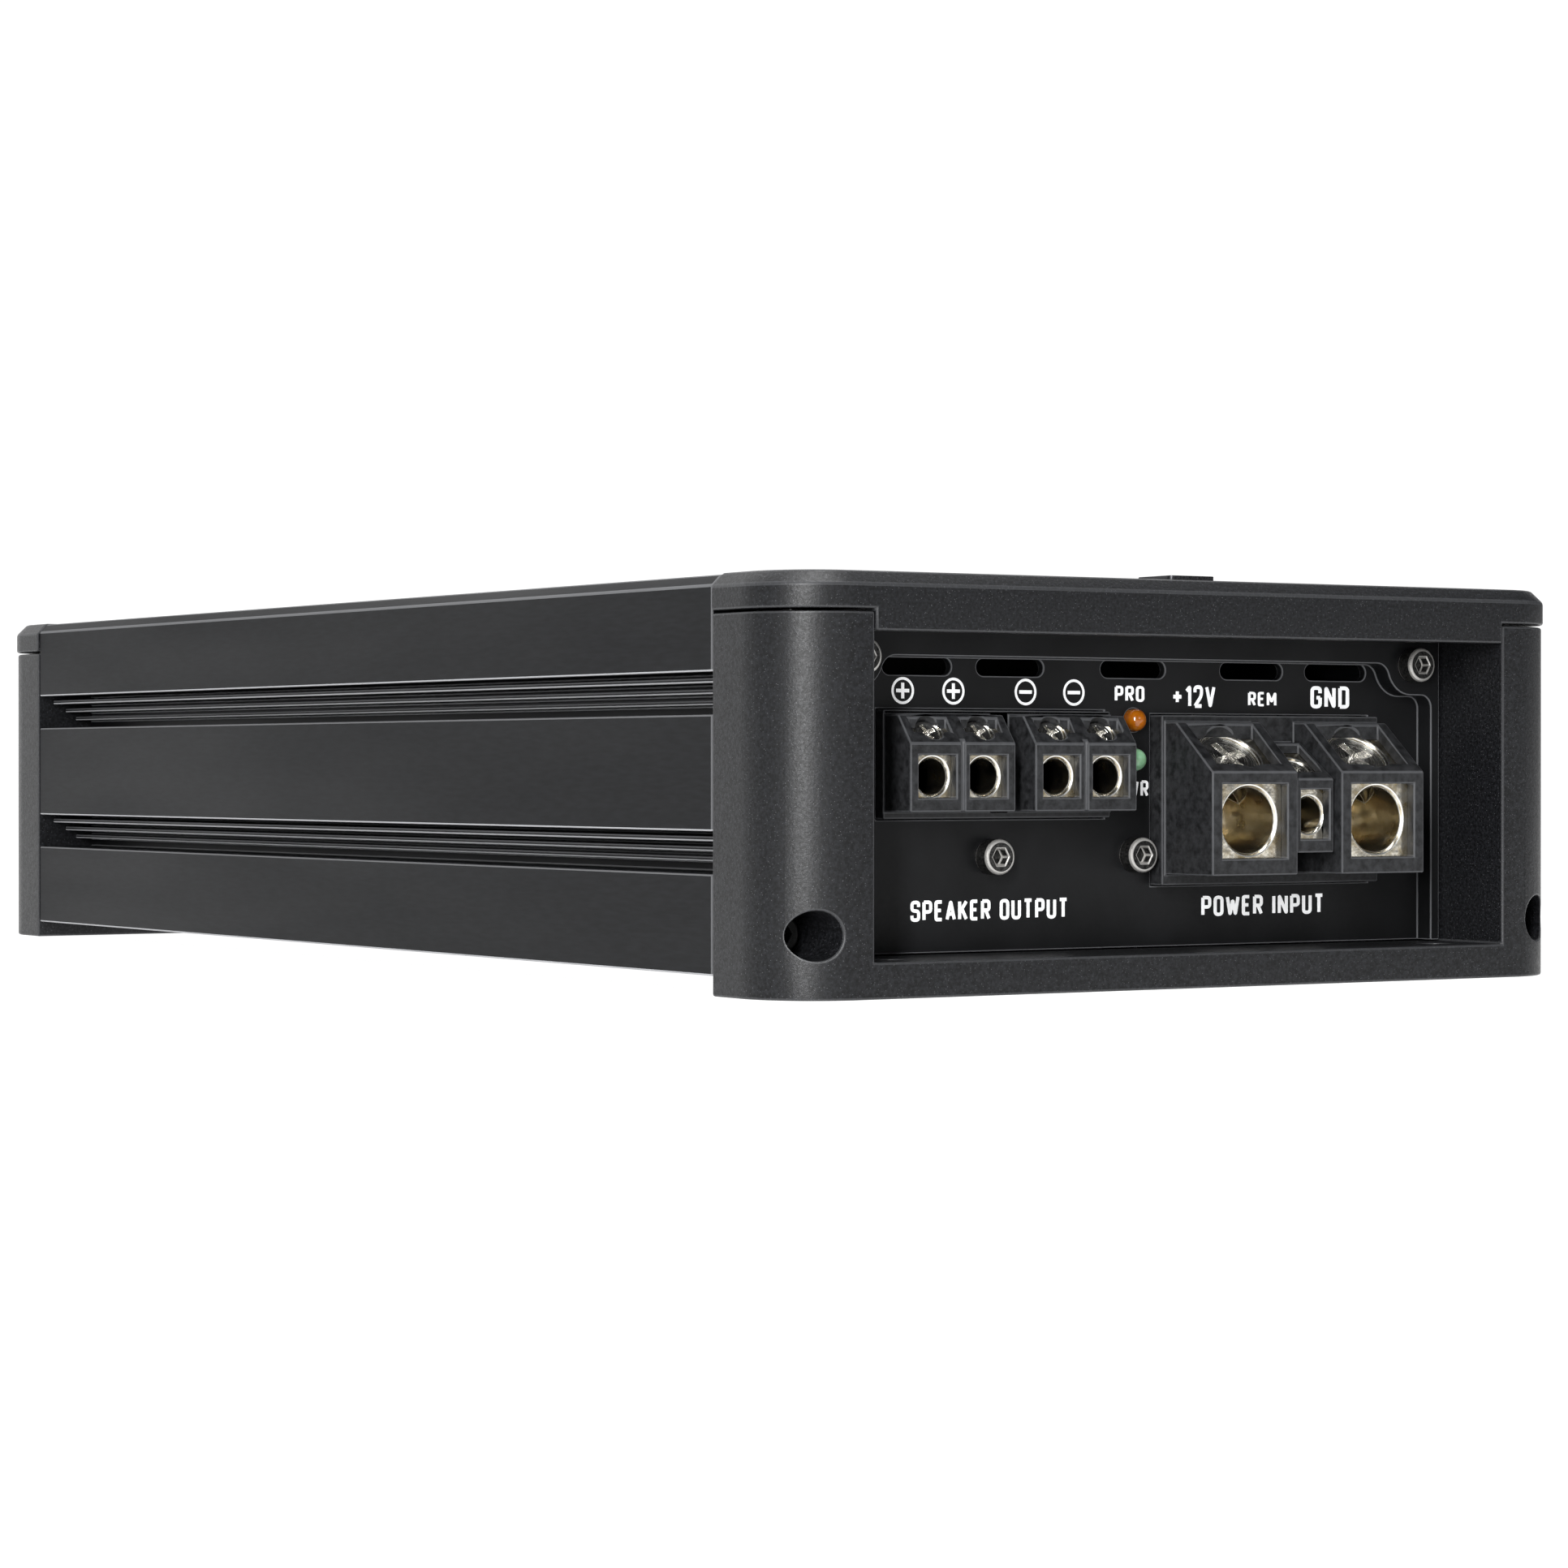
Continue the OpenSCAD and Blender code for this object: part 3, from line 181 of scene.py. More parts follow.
class Finish:
    """A node material whose patterns lie on Object coordinates."""

    def __init__(self, name, colour, roughness, metallic=0.0, **plain):
        self.material = bpy.data.materials.new(name)
        self.material.use_nodes = True
        self.nodes = self.material.node_tree.nodes
        self.links = self.material.node_tree.links
        self.shader = self.nodes["Principled BSDF"]
        self.shader.inputs["Base Color"].default_value = (*colour, 1.0)
        self.shader.inputs["Roughness"].default_value = roughness
        self.shader.inputs["Metallic"].default_value = metallic
        for socket, value in plain.items():
            self.shader.inputs[socket.replace("_", " ")].default_value = value
        self.place = self.nodes.new("ShaderNodeTexCoord").outputs["Object"]
        self.bumped = None

    def attribute(self, name):
        node = self.nodes.new("ShaderNodeAttribute")
        node.attribute_name = name
        return node

    def wear_and_highlight(self):
        """How strongly an edge is painted lighter, from 0 to 1: partly worn edges, partly painted highlight."""
        return self.attribute("wear_and_highlight").outputs["Fac"]

    def stretched(self, scale, source=None):
        """Object coordinates, or another source, scaled along each axis."""
        node = self.nodes.new("ShaderNodeMapping")
        node.inputs["Scale"].default_value = scale
        self.links.new(source or self.place, node.inputs["Vector"])
        return node.outputs["Vector"]

    def noise(self, scale, detail=3.0, source=None, roughness=0.5):
        node = self.nodes.new("ShaderNodeTexNoise")
        node.inputs["Scale"].default_value = 1.0
        node.inputs["Detail"].default_value = detail
        node.inputs["Roughness"].default_value = roughness
        scale = scale if isinstance(scale, tuple) else (scale,) * 3
        self.links.new(self.stretched(scale, source), node.inputs["Vector"])
        return node.outputs["Fac"]

    def cells(self, scale, output="Distance"):
        node = self.nodes.new("ShaderNodeTexVoronoi")
        node.inputs["Scale"].default_value = 1.0
        self.links.new(self.stretched((scale,) * 3), node.inputs["Vector"])
        return node.outputs[output]

    def rings(self, per_metre):
        """Turning marks round the z axis of the lathe attribute."""
        flat = self.stretched((1.0, 1.0, 0.0), self.attribute("lathe").outputs["Vector"])
        length = self.nodes.new("ShaderNodeVectorMath")
        length.operation = "LENGTH"
        self.links.new(flat, length.inputs[0])
        node = self.nodes.new("ShaderNodeTexNoise")
        node.noise_dimensions = "1D"
        node.inputs["Scale"].default_value = per_metre
        node.inputs["Detail"].default_value = 2.0
        self.links.new(length.outputs["Value"], node.inputs["W"])
        return node.outputs["Fac"]

    def levels(self, factor, low, high, to_low=0.0, to_high=1.0):
        """A factor's range from low to high, spread over another range."""
        node = self.nodes.new("ShaderNodeMapRange")
        node.inputs["From Min"].default_value = low
        node.inputs["From Max"].default_value = high
        node.inputs["To Min"].default_value = to_low
        node.inputs["To Max"].default_value = to_high
        self.links.new(factor, node.inputs["Value"])
        return node.outputs["Result"]

    def mixed(self, factor, first, second):
        """A colour between two, each a colour or another node's output."""
        node = self.nodes.new("ShaderNodeMix")
        node.data_type = "RGBA"
        self.links.new(factor, node.inputs["Factor"])
        for socket, value in (("A", first), ("B", second)):
            target = [i for i in node.inputs if i.name == socket and i.type == "RGBA"][0]
            if isinstance(value, bpy.types.NodeSocket):
                self.links.new(value, target)
            else:
                target.default_value = (*value, 1.0)
        return [o for o in node.outputs if o.type == "RGBA"][0]

    def colour(self, output):
        self.links.new(output, self.shader.inputs["Base Color"])

    def roughness(self, output):
        self.links.new(output, self.shader.inputs["Roughness"])

    def relief(self, height, distance, strength):
        """Adds bumps to those already there."""
        node = self.nodes.new("ShaderNodeBump")
        node.inputs["Distance"].default_value = distance
        node.inputs["Strength"].default_value = strength
        self.links.new(height, node.inputs["Height"])
        if self.bumped:
            self.links.new(self.bumped, node.inputs["Normal"])
        self.bumped = node.outputs["Normal"]
        self.links.new(self.bumped, self.shader.inputs["Normal"])

    def worn_and_lit_colour(self, base, share, bare_and_lit):
        """The base colour, with a share of a lighter one along rounded edges: partly worn edges, partly painted
        highlight.
        """
        self.colour(self.mixed(self.levels(self.wear_and_highlight(), 0.0, 1.0, 0.0, share), base, bare_and_lit))

    def added(self, first, second):
        node = self.nodes.new("ShaderNodeMath")
        node.operation = "ADD"
        self.links.new(first, node.inputs[0])
        self.links.new(second, node.inputs[1])
        return node.outputs["Value"]


def tint(colour, share):
    """A colour made lighter or darker."""
    return tuple(min(1.0, c * share) for c in colour)


def sink_finish(colours):
    f = Finish("anodised sink", colours.sink, 0.4, 0.0, Specular_IOR_Level=0.1)
    grain = f.noise((1400.0, 260.0, 1700.0), 4.0)
    broad = f.noise((40.0, 9.0, 60.0), 2.0)
    base = f.mixed(f.levels(grain, 0.35, 0.7), tint(colours.sink, 0.8), tint(colours.sink, 1.5))
    # lighter rounded edges and slot lips: partly worn edges, partly painted highlight
    f.worn_and_lit_colour(base, 0.8, (0.42, 0.425, 0.44))
    f.roughness(f.levels(broad, 0.3, 0.7, 0.36, 0.5))
    f.relief(grain, 0.00002, 0.55)
    return f.material


def coat_finish(colours):
    f = Finish("powder coat", colours.coat, 0.42, 0.0, Specular_IOR_Level=0.32)
    grit = f.noise(2000.0, 5.0, roughness=0.65)
    flakes = f.cells(2200.0)
    base = f.mixed(f.levels(grit, 0.4, 0.68), tint(colours.coat, 0.4), tint(colours.coat, 2.2))
    sparkle = f.mixed(f.levels(flakes, 0.17, 0.05), base, (0.1, 0.102, 0.108))
    # lighter rounded edges: partly worn edges, partly painted highlight
    f.worn_and_lit_colour(sparkle, 0.3, (0.09, 0.092, 0.097))
    f.roughness(f.levels(grit, 0.3, 0.7, 0.46, 0.32))
    f.relief(grit, 0.00009, 0.5)
    return f.material


def panel_finish(colours):
    f = Finish("satin paint", colours.panel, 0.4, 0.0, Specular_IOR_Level=0.2)
    fine = f.noise(1900.0, 3.0)
    broad = f.noise(90.0, 2.0)
    base = f.mixed(f.levels(broad, 0.35, 0.65), tint(colours.panel, 0.8), tint(colours.panel, 1.3))
    # lighter rounded edges: partly worn edges, partly painted highlight
    f.worn_and_lit_colour(base, 0.85, (0.13, 0.133, 0.14))
    f.roughness(f.levels(fine, 0.3, 0.7, 0.34, 0.5))
    f.relief(fine, 0.00002, 0.4)
    return f.material


def plastic_finish(colours):
    f = Finish("terminal plastic", colours.plastic, 0.5, 0.0, Specular_IOR_Level=0.3)
    mottle = f.noise(750.0, 6.0, roughness=0.7)
    fine = f.noise(2600.0, 3.0)
    dark, light = tint(colours.plastic, 0.5), tint(colours.plastic, 1.9)
    base = f.mixed(f.levels(mottle, 0.36, 0.62), dark, light)
    # lighter rounded edges: partly worn edges, partly painted highlight
    f.worn_and_lit_colour(base, 0.45, (0.11, 0.113, 0.12))
    f.roughness(f.levels(mottle, 0.3, 0.7, 0.42, 0.6))
    f.relief(mottle, 0.00005, 0.45)
    f.relief(fine, 0.00002, 0.5)
    return f.material


def nickel_finish(colours):
    f = Finish("nickel plating", colours.nickel, 0.2, 1.0)
    hammer = f.noise(650.0, 2.0)
    tarnish_and_reflection = f.noise(380.0, 4.0, roughness=0.65)
    wear_and_highlight = f.wear_and_highlight()
    # brown-gold patches: partly tarnish, partly a painted golden reflection
    base = f.mixed(f.levels(tarnish_and_reflection, 0.42, 0.66), colours.nickel, (0.42, 0.34, 0.2))
    # lighter rounded edges: partly worn edges, partly painted highlight
    f.colour(f.mixed(wear_and_highlight, base, (0.93, 0.92, 0.88)))
    f.roughness(f.added(f.levels(tarnish_and_reflection, 0.3, 0.7, 0.13, 0.3), f.levels(wear_and_highlight, 0, 1, 0.0, 0.1)))
    f.relief(hammer, 0.00012, 0.4)
    return f.material


def turned_finish(colours):
    f = Finish("turned nickel", (0.82, 0.81, 0.78), 0.18, 1.0)
    rings = f.rings(2600.0)
    dents = f.noise(900.0, 3.0)
    f.colour(f.mixed(f.levels(dents, 0.35, 0.65), (0.9, 0.89, 0.86), (0.5, 0.49, 0.46)))
    f.roughness(f.levels(dents, 0.3, 0.7, 0.12, 0.28))
    f.relief(rings, 0.00016, 0.9)
    f.relief(dents, 0.0001, 0.5)
    return f.material


def oxide_finish(colours):
    f = Finish("black oxide", (0.022, 0.021, 0.021), 0.32, 0.6)
    fine = f.noise(2500.0, 3.0)
    wear_and_highlight = f.wear_and_highlight()
    base = f.mixed(f.levels(fine, 0.4, 0.65), (0.012, 0.012, 0.012), (0.05, 0.049, 0.047))
    # lighter rims and hex edges: partly worn edges, partly painted highlight
    f.colour(f.mixed(wear_and_highlight, base, (0.5, 0.49, 0.47)))
    f.roughness(f.levels(fine, 0.3, 0.7, 0.26, 0.42))
    f.relief(fine, 0.00003, 0.5)
    return f.material


def badge_finish(colours):
    f = Finish("badge plate", (0.02, 0.02, 0.022), 0.3, 0.7)
    brushed = f.noise((3000.0, 150.0, 3000.0), 3.0)
    f.colour(f.mixed(f.levels(brushed, 0.3, 0.7), (0.015, 0.015, 0.017), (0.05, 0.05, 0.055)))
    f.roughness(f.levels(brushed, 0.3, 0.7, 0.22, 0.4))
    f.relief(brushed, 0.00001, 0.5)
    return f.material


def steel_finish(colours):
    f = Finish("zinc plated steel", (0.5, 0.5, 0.5), 0.35, 1.0)
    bloom = f.cells(260.0, "Color")
    brushed = f.noise((2600.0, 160.0, 2600.0), 3.0)
    tone = f.nodes.new("ShaderNodeRGBToBW")
    f.links.new(bloom, tone.inputs["Color"])
    f.colour(f.mixed(tone.outputs["Val"], (0.42, 0.43, 0.44), (0.6, 0.6, 0.6)))
    f.roughness(f.levels(brushed, 0.3, 0.7, 0.25, 0.45))
    f.relief(brushed, 0.00001, 0.6)
    return f.material


def lens_finish(name, colour):
    f = Finish(name, colour, 0.16, 0.0, Coat_Weight=0.6, Coat_Roughness=0.05)
    cloud = f.noise(420.0, 2.0)
    f.shader.inputs["Subsurface Weight"].default_value = 0.25
    f.shader.inputs["Subsurface Radius"].default_value = (0.001, 0.0006, 0.0004)
    f.colour(f.mixed(f.levels(cloud, 0.3, 0.7), tint(colour, 0.6), tint(colour, 1.25)))
    f.roughness(f.levels(cloud, 0.3, 0.7, 0.12, 0.22))
    return f.material


def moulded_finish(name, colour, roughness=0.4, scale=1500.0):
    """Plain moulded plastic: fine grain and a little mottling."""
    f = Finish(name, colour, roughness)
    fine = f.noise(scale, 3.0)
    broad = f.noise(scale / 9.0, 2.0)
    f.colour(f.mixed(f.levels(broad, 0.3, 0.7), tint(colour, 0.85), tint(colour, 1.15)))
    f.roughness(f.levels(fine, 0.3, 0.7, roughness - 0.08, roughness + 0.1))
    f.relief(fine, 0.00002, 0.5)
    return f.material


def plated_finish(name, colour, roughness):
    """A plated metal with faint polishing marks."""
    f = Finish(name, colour, roughness, 1.0)
    marks = f.noise((500.0, 2200.0, 2200.0), 3.0)
    f.colour(f.mixed(f.levels(marks, 0.3, 0.7), tint(colour, 0.85), tint(colour, 1.1)))
    f.roughness(f.levels(marks, 0.3, 0.7, roughness - 0.05, roughness + 0.1))
    f.relief(marks, 0.00001, 0.5)
    return f.material


def board_finish(colours):
    f = Finish("circuit board", (0.02, 0.16, 0.06), 0.35, 0.0, Coat_Weight=0.3)
    tracks = f.nodes.new("ShaderNodeTexBrick")
    tracks.inputs["Scale"].default_value = 1.0
    tracks.inputs["Mortar Size"].default_value = 0.06
    f.links.new(f.stretched((120.0, 170.0, 120.0)), tracks.inputs["Vector"])
    f.colour(f.mixed(tracks.outputs["Fac"], (0.012, 0.1, 0.04), (0.03, 0.22, 0.08)))
    weave = f.noise(1800.0, 2.0)
    f.roughness(f.levels(weave, 0.3, 0.7, 0.28, 0.45))
    f.relief(tracks.outputs["Fac"], 0.00003, 0.6)
    return f.material


def winding_finish(colours):
    f = Finish("enamelled copper", (0.6, 0.24, 0.08), 0.3, 0.8)
    strands = f.noise((900.0, 900.0, 240.0), 2.0)
    f.colour(f.mixed(f.levels(strands, 0.35, 0.65), (0.32, 0.1, 0.03), (0.72, 0.32, 0.12)))
    f.roughness(f.levels(strands, 0.3, 0.7, 0.22, 0.4))
    f.relief(strands, 0.0001, 0.6)
    return f.material


def glowing_ink_finish(colours):
    # the ink glows a little though it is no lamp: painted light
    f = Finish("printed ink with painted glow", colours.ink, 0.5, Emission_Strength=0.3)
    f.shader.inputs["Emission Color"].default_value = (1.0, 1.0, 1.0, 1.0)
    screen = f.noise(3200.0, 3.0)
    f.colour(f.mixed(f.levels(screen, 0.3, 0.62), tint(colours.ink, 0.78), colours.ink))
    f.roughness(f.levels(screen, 0.3, 0.7, 0.42, 0.6))
    f.relief(screen, 0.00001, 0.4)
    return f.material


FINISH_MAKERS = {
    "sink_anodised": sink_finish,
    "frame_powder_coat": coat_finish,
    "badge_metal": badge_finish,
    "panel_paint": panel_finish,
    "plate_steel": steel_finish,
    "black_screws": oxide_finish,
    # near-black finish for the frame screws deep in their holes: painted shade
    "painted_shade_black": lambda c: moulded_finish("painted shade black", (0.004, 0.004, 0.004), 0.6),
    "terminal_plastic": plastic_finish,
    "nickel": nickel_finish,
    "turned": turned_finish,
    "amber_lens": lambda c: lens_finish("amber lens", c.amber),
    "green_lens": lambda c: lens_finish("green lens", c.green),
    "gold_plate": lambda c: plated_finish("gold plate", (0.9, 0.62, 0.24), 0.18),
    "switch_metal": lambda c: plated_finish("plated shell", (0.62, 0.62, 0.64), 0.28),
    "white_plastic": lambda c: moulded_finish("white insulator", (0.8, 0.79, 0.75)),
    "red_plastic": lambda c: moulded_finish("red insulator", (0.55, 0.02, 0.015)),
    "pot_plastic": lambda c: moulded_finish("pot housing", (0.03, 0.09, 0.24)),
    "knob_plastic": lambda c: moulded_finish("knob plastic", (0.02, 0.02, 0.022), 0.45),
    "circuit_board": board_finish,
    "copper_wire": winding_finish,
    "ferrite": lambda c: moulded_finish("ferrite", (0.035, 0.036, 0.04), 0.6, 700.0),
    "capacitor_sleeve": lambda c: moulded_finish("sleeve", (0.015, 0.02, 0.05), 0.25, 600.0),
    "transistor_epoxy": lambda c: moulded_finish("epoxy", (0.015, 0.015, 0.016), 0.55),
    "insulator_pad": lambda c: moulded_finish("silicone pad", (0.45, 0.46, 0.47), 0.6),
    "ink": glowing_ink_finish,
}
FINISHES = {}


def finish_of(slot):
    """A slot's material, made once."""
    if slot not in FINISHES:
        FINISHES[slot] = FINISH_MAKERS[slot](bpy.context.scene.amplifier_colours)
    return FINISHES[slot]


# ---- making pieces ----

WELD_GAP = 0.002 * MM
FLAT_ANGLE = math.radians(0.6)
SHADING_ANGLE = math.radians(40.0)
ROUND_STEPS = 2
# rounded strips facing further down than this carry the full painted reflection of the bright floor
FACING_DOWN = -0.2
SEAT_MARGIN = 0.6 * MM


def corner_normals(bm):
    """A normal for each face corner, shared where faces meet smoothly and led by the larger."""
    bm.verts.index_update()
    bm.faces.index_update()
    pull = [face.normal * face.calc_area() / MM**2 for face in bm.faces]
    found = {}
    for vertex in bm.verts:
        waiting = set(vertex.link_faces)
        while waiting:
            border = [waiting.pop()]
            fan = []
            while border:
                face = border.pop()
                fan.append(face)
                for edge in face.edges:
                    if edge.smooth and vertex in edge.verts:
                        joined = [f for f in edge.link_faces if f in waiting]
                        waiting.difference_update(joined)
                        border.extend(joined)
            total = sum((pull[face.index] for face in fan), Vector())
            if total.length == 0.0:
                total = Vector((0.0, 0.0, 1.0))
            for face in fan:
                found[vertex.index, face.index] = total.normalized()
    return [found[loop.vert.index, face.index] for face in bm.faces for loop in face.loops]


def new_piece(name, bm, finish, body):
    """Turns a bmesh, already in place, into a piece that rides on a body."""
    bm.normal_update()
    mesh = bpy.data.meshes.new(name)
    for face in bm.faces:
        face.smooth = True
    for edge in bm.edges:
        if len(edge.link_faces) == 2:
            edge.smooth = edge.calc_face_angle(0.0) < SHADING_ANGLE
    normals = corner_normals(bm)
    bm.to_mesh(mesh)
    bm.free()
    piece = bpy.data.objects.new(name, mesh)
    bpy.context.scene.collection.objects.link(piece)
    mesh.materials.append(finish)
    mesh.normals_split_custom_set(normals)
    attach(piece, body)
    return piece


def node_bmesh(node):
    """The node's own triangles joined into clean faces."""
    bm = bmesh.new()
    bm.from_mesh(frame["nodes"][node].data)
    bmesh.ops.remove_doubles(bm, verts=bm.verts, dist=WELD_GAP)
    bmesh.ops.dissolve_limit(
        bm,
        angle_limit=FLAT_ANGLE,
        verts=bm.verts,
        edges=bm.edges,
        use_dissolve_boundaries=False,
    )
    return bm


def box_round(node, margin):
    """Low and high corners of a node's box, grown by a margin."""
    points = [v.co for v in frame["nodes"][node].data.vertices]
    grown = Vector((margin, margin, margin))
    low = Vector(map(min, zip(*points))) - grown
    high = Vector(map(max, zip(*points))) + grown
    return low, high


def inside(edge, box):
    """Whether both ends of an edge lie in a box."""
    low, high = box
    return all(low[i] <= v.co[i] <= high[i] for v in edge.verts for i in range(3))


def round_edges(bm, width, least_angle, upper, spared):
    """Rounds the sharp edges outside the spared boxes and paints the strips lighter, partly as worn edges, partly
    as painted highlight.
    """
    sharp = [
        edge
        for edge in bm.edges
        if len(edge.link_faces) == 2
        and edge.calc_face_angle(0.0) > math.radians(least_angle)
        and not any(inside(edge, box) for box in spared)
    ]
    wear_and_highlight = bm.faces.layers.float.new("wear_and_highlight")
    made = bmesh.ops.bevel(
        bm,
        geom=sharp,
        offset=width,
        offset_type="OFFSET",
        segments=ROUND_STEPS,
        profile=0.5,
        affect="EDGES",
        clamp_overlap=False,
        material=-1,
    )
    bm.normal_update()
    # down-facing strips get the full share as a painted reflection of the floor, the others the upper share
    for face in made["faces"]:
        face[wear_and_highlight] = 1.0 if face.normal.z < FACING_DOWN else upper


def rounded(node, width, least_angle=35.0, finish=None, upper=1.0, spared=()):
    """Replaces a CAD node by a copy whose edges are rounded and painted lighter, partly worn, partly painted
    highlight; the upper ones less, the down-facing ones carry a painted reflection of the floor.
    """
    bm = node_bmesh(node)
    round_edges(bm, width, least_angle, upper, spared)
    if "_clamp_screw" in node:
        joint = JOINTS[BODY_OF[node]]
        mark_lathe(bm, Vector(joint["pos_m"]), Vector(joint["axis"]))
    slot = SLOT_OF[node]
    piece = new_piece(node + ".shape", bm, finish or finish_of(slot), BODY_OF[node])
    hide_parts(node)
    return piece


def mark_lathe(bm, centre, axis):
    """Writes each point's place in the screw's own frame, its z along the axis."""
    layer = bm.verts.layers.float_vector.new("lathe")
    turn = axis.to_track_quat("Z", "Y").to_matrix().inverted()
    for vertex in bm.verts:
        vertex[layer] = turn @ (vertex.co - centre)


def dress(node):
    """Gives a CAD node that shows as it is its finish."""
    mesh = frame["nodes"][node].data
    mesh.materials.clear()
    mesh.materials.append(finish_of(SLOT_OF[node]))


# ---- legends ----

# how far the panels' faces lie behind the case's ends, in millimetres
PANEL_V = 18.3
END_Y = {"front": CAD_BOX[0].y, "rear": CAD_BOX[1].y}


def at_end(end, x, depth, z):
    """A point in an end's own frame: x to the right facing it, depth behind its face."""
    if end == "front":
        return Vector((x * MM, END_Y["front"] + depth * MM, z * MM))
    return Vector((-x * MM, END_Y["rear"] - depth * MM, z * MM))


def facing(end):
    """Turns a drawing in the x-y plane to face out of an end."""
    turn = Matrix.Rotation(math.pi / 2, 4, "X")
    return turn if end == "front" else Matrix.Rotation(math.pi, 4, "Z") @ turn


def place_drawing(bm, end, x, z):
    """Moves a drawing onto an end's panel."""
    bm.transform(Matrix.Translation(at_end(end, x, PANEL_V, z)) @ facing(end))


# strokes and gaps are shares of a letter's height
STROKE = 0.2
LETTER_GAP = 0.34
WORD_GAP = 0.45
LEAST_FILLET = 0.4 * STROKE
LOOP = (0.45, (0, 0.5), (0, 1), (1, 1), (1, 0), (0, 0), (0, 0.5))
STEM = (0, (0, 0), (0, 1))
GLYPHS = {
    # letter: width, then strokes, each a corner radius and its points
    "A": (0.46, (0, (0, 0), (0.5, 1), (1, 0)), (0, (0.2, 0.3), (0.8, 0.3))),
    "B": (0.42, STEM, (0.35, (0, 1), (0.95, 1), (0.95, 0.53), (0, 0.53)),
          (0.35, (0, 0.53), (1, 0.53), (1, 0), (0, 0))),
    "C": (0.42, (0.45, (1, 0.7), (1, 1), (0, 1), (0, 0), (1, 0), (1, 0.3))),
    "D": (0.42, STEM, (0.4, (0, 1), (1, 1), (1, 0), (0, 0))),
    "E": (0.36, (0, (1, 1), (0, 1), (0, 0), (1, 0)), (0, (0, 0.52), (0.85, 0.52))),
    "F": (0.36, (0, (1, 1), (0, 1), (0, 0)), (0, (0, 0.52), (0.85, 0.52))),
    "G": (0.44, (0.42, (1, 0.72), (1, 1), (0, 1), (0, 0), (1, 0), (1, 0.48)),
          (0, (1, 0.48), (0.55, 0.48))),
    "H": (0.42, STEM, (0, (1, 0), (1, 1)), (0, (0, 0.52), (1, 0.52))),
    "I": (0.01, STEM),
    "K": (0.42, STEM, (0, (1, 1), (0.05, 0.4)), (0, (0.35, 0.58), (1, 0))),
    "L": (0.34, (0, (0, 1), (0, 0), (1, 0))),
    "M": (0.56, (0, (0, 0), (0, 1), (0.5, 0.3), (1, 1), (1, 0))),
    "N": (0.44, (0, (0, 0), (0, 1), (1, 0), (1, 1))),
    "O": (0.42, LOOP),
    "P": (0.42, STEM, (0.4, (0, 1), (1, 1), (1, 0.45), (0, 0.45))),
    "R": (0.42, STEM, (0.4, (0, 1), (1, 1), (1, 0.48), (0, 0.48)), (0, (0.5, 0.48), (1, 0))),
    "S": (0.42, (0.4, (1, 0.74), (1, 1), (0, 1), (0, 0.53), (1, 0.5), (1, 0), (0, 0), (0, 0.26))),
    "T": (0.44, (0, (0, 1), (1, 1)), (0, (0.5, 1), (0.5, 0))),
    "U": (0.42, (0.45, (0, 1), (0, 0), (1, 0), (1, 1))),
    "V": (0.46, (0, (0, 1), (0.5, 0), (1, 1))),
    "W": (0.66, (0, (0, 1), (0.25, 0), (0.5, 0.8), (0.75, 0), (1, 1))),
    "0": (0.42, LOOP),
    "1": (0.2, (0, (0, 0.78), (1, 1), (1, 0))),
    "2": (0.42, (0.45, (0, 0.72), (0, 1), (1, 1), (1, 0.55), (0, 0)), (0, (0, 0), (1, 0))),
    "8": (0.42, (0.4, (0.5, 1), (0.05, 1), (0.05, 0.53), (0.95, 0.53), (0.95, 1), (0.5, 1)),
          (0.4, (0.5, 0.53), (0, 0.53), (0, 0), (1, 0), (1, 0.53), (0.5, 0.53))),
    "+": (0.52, (0, (0, 0.48), (1, 0.48)), (0, (0.5, 0.2), (0.5, 0.76))),
}


FILLET_STEPS = 6


def filleted(points, radius):
    """The points with each inner corner drawn as a curve."""
    path = [points[0]]
    for before, corner, after in zip(points, points[1:], points[2:]):
        back, ahead = before - corner, after - corner
        start = corner + back.normalized() * min(radius, back.length / 2)
        end = corner + ahead.normalized() * min(radius, ahead.length / 2)
        for i in range(FILLET_STEPS + 1):
            t = i / FILLET_STEPS
            path.append((1 - t) ** 2 * start + 2 * t * (1 - t) * corner + t * t * end)
    return path + [points[-1]]


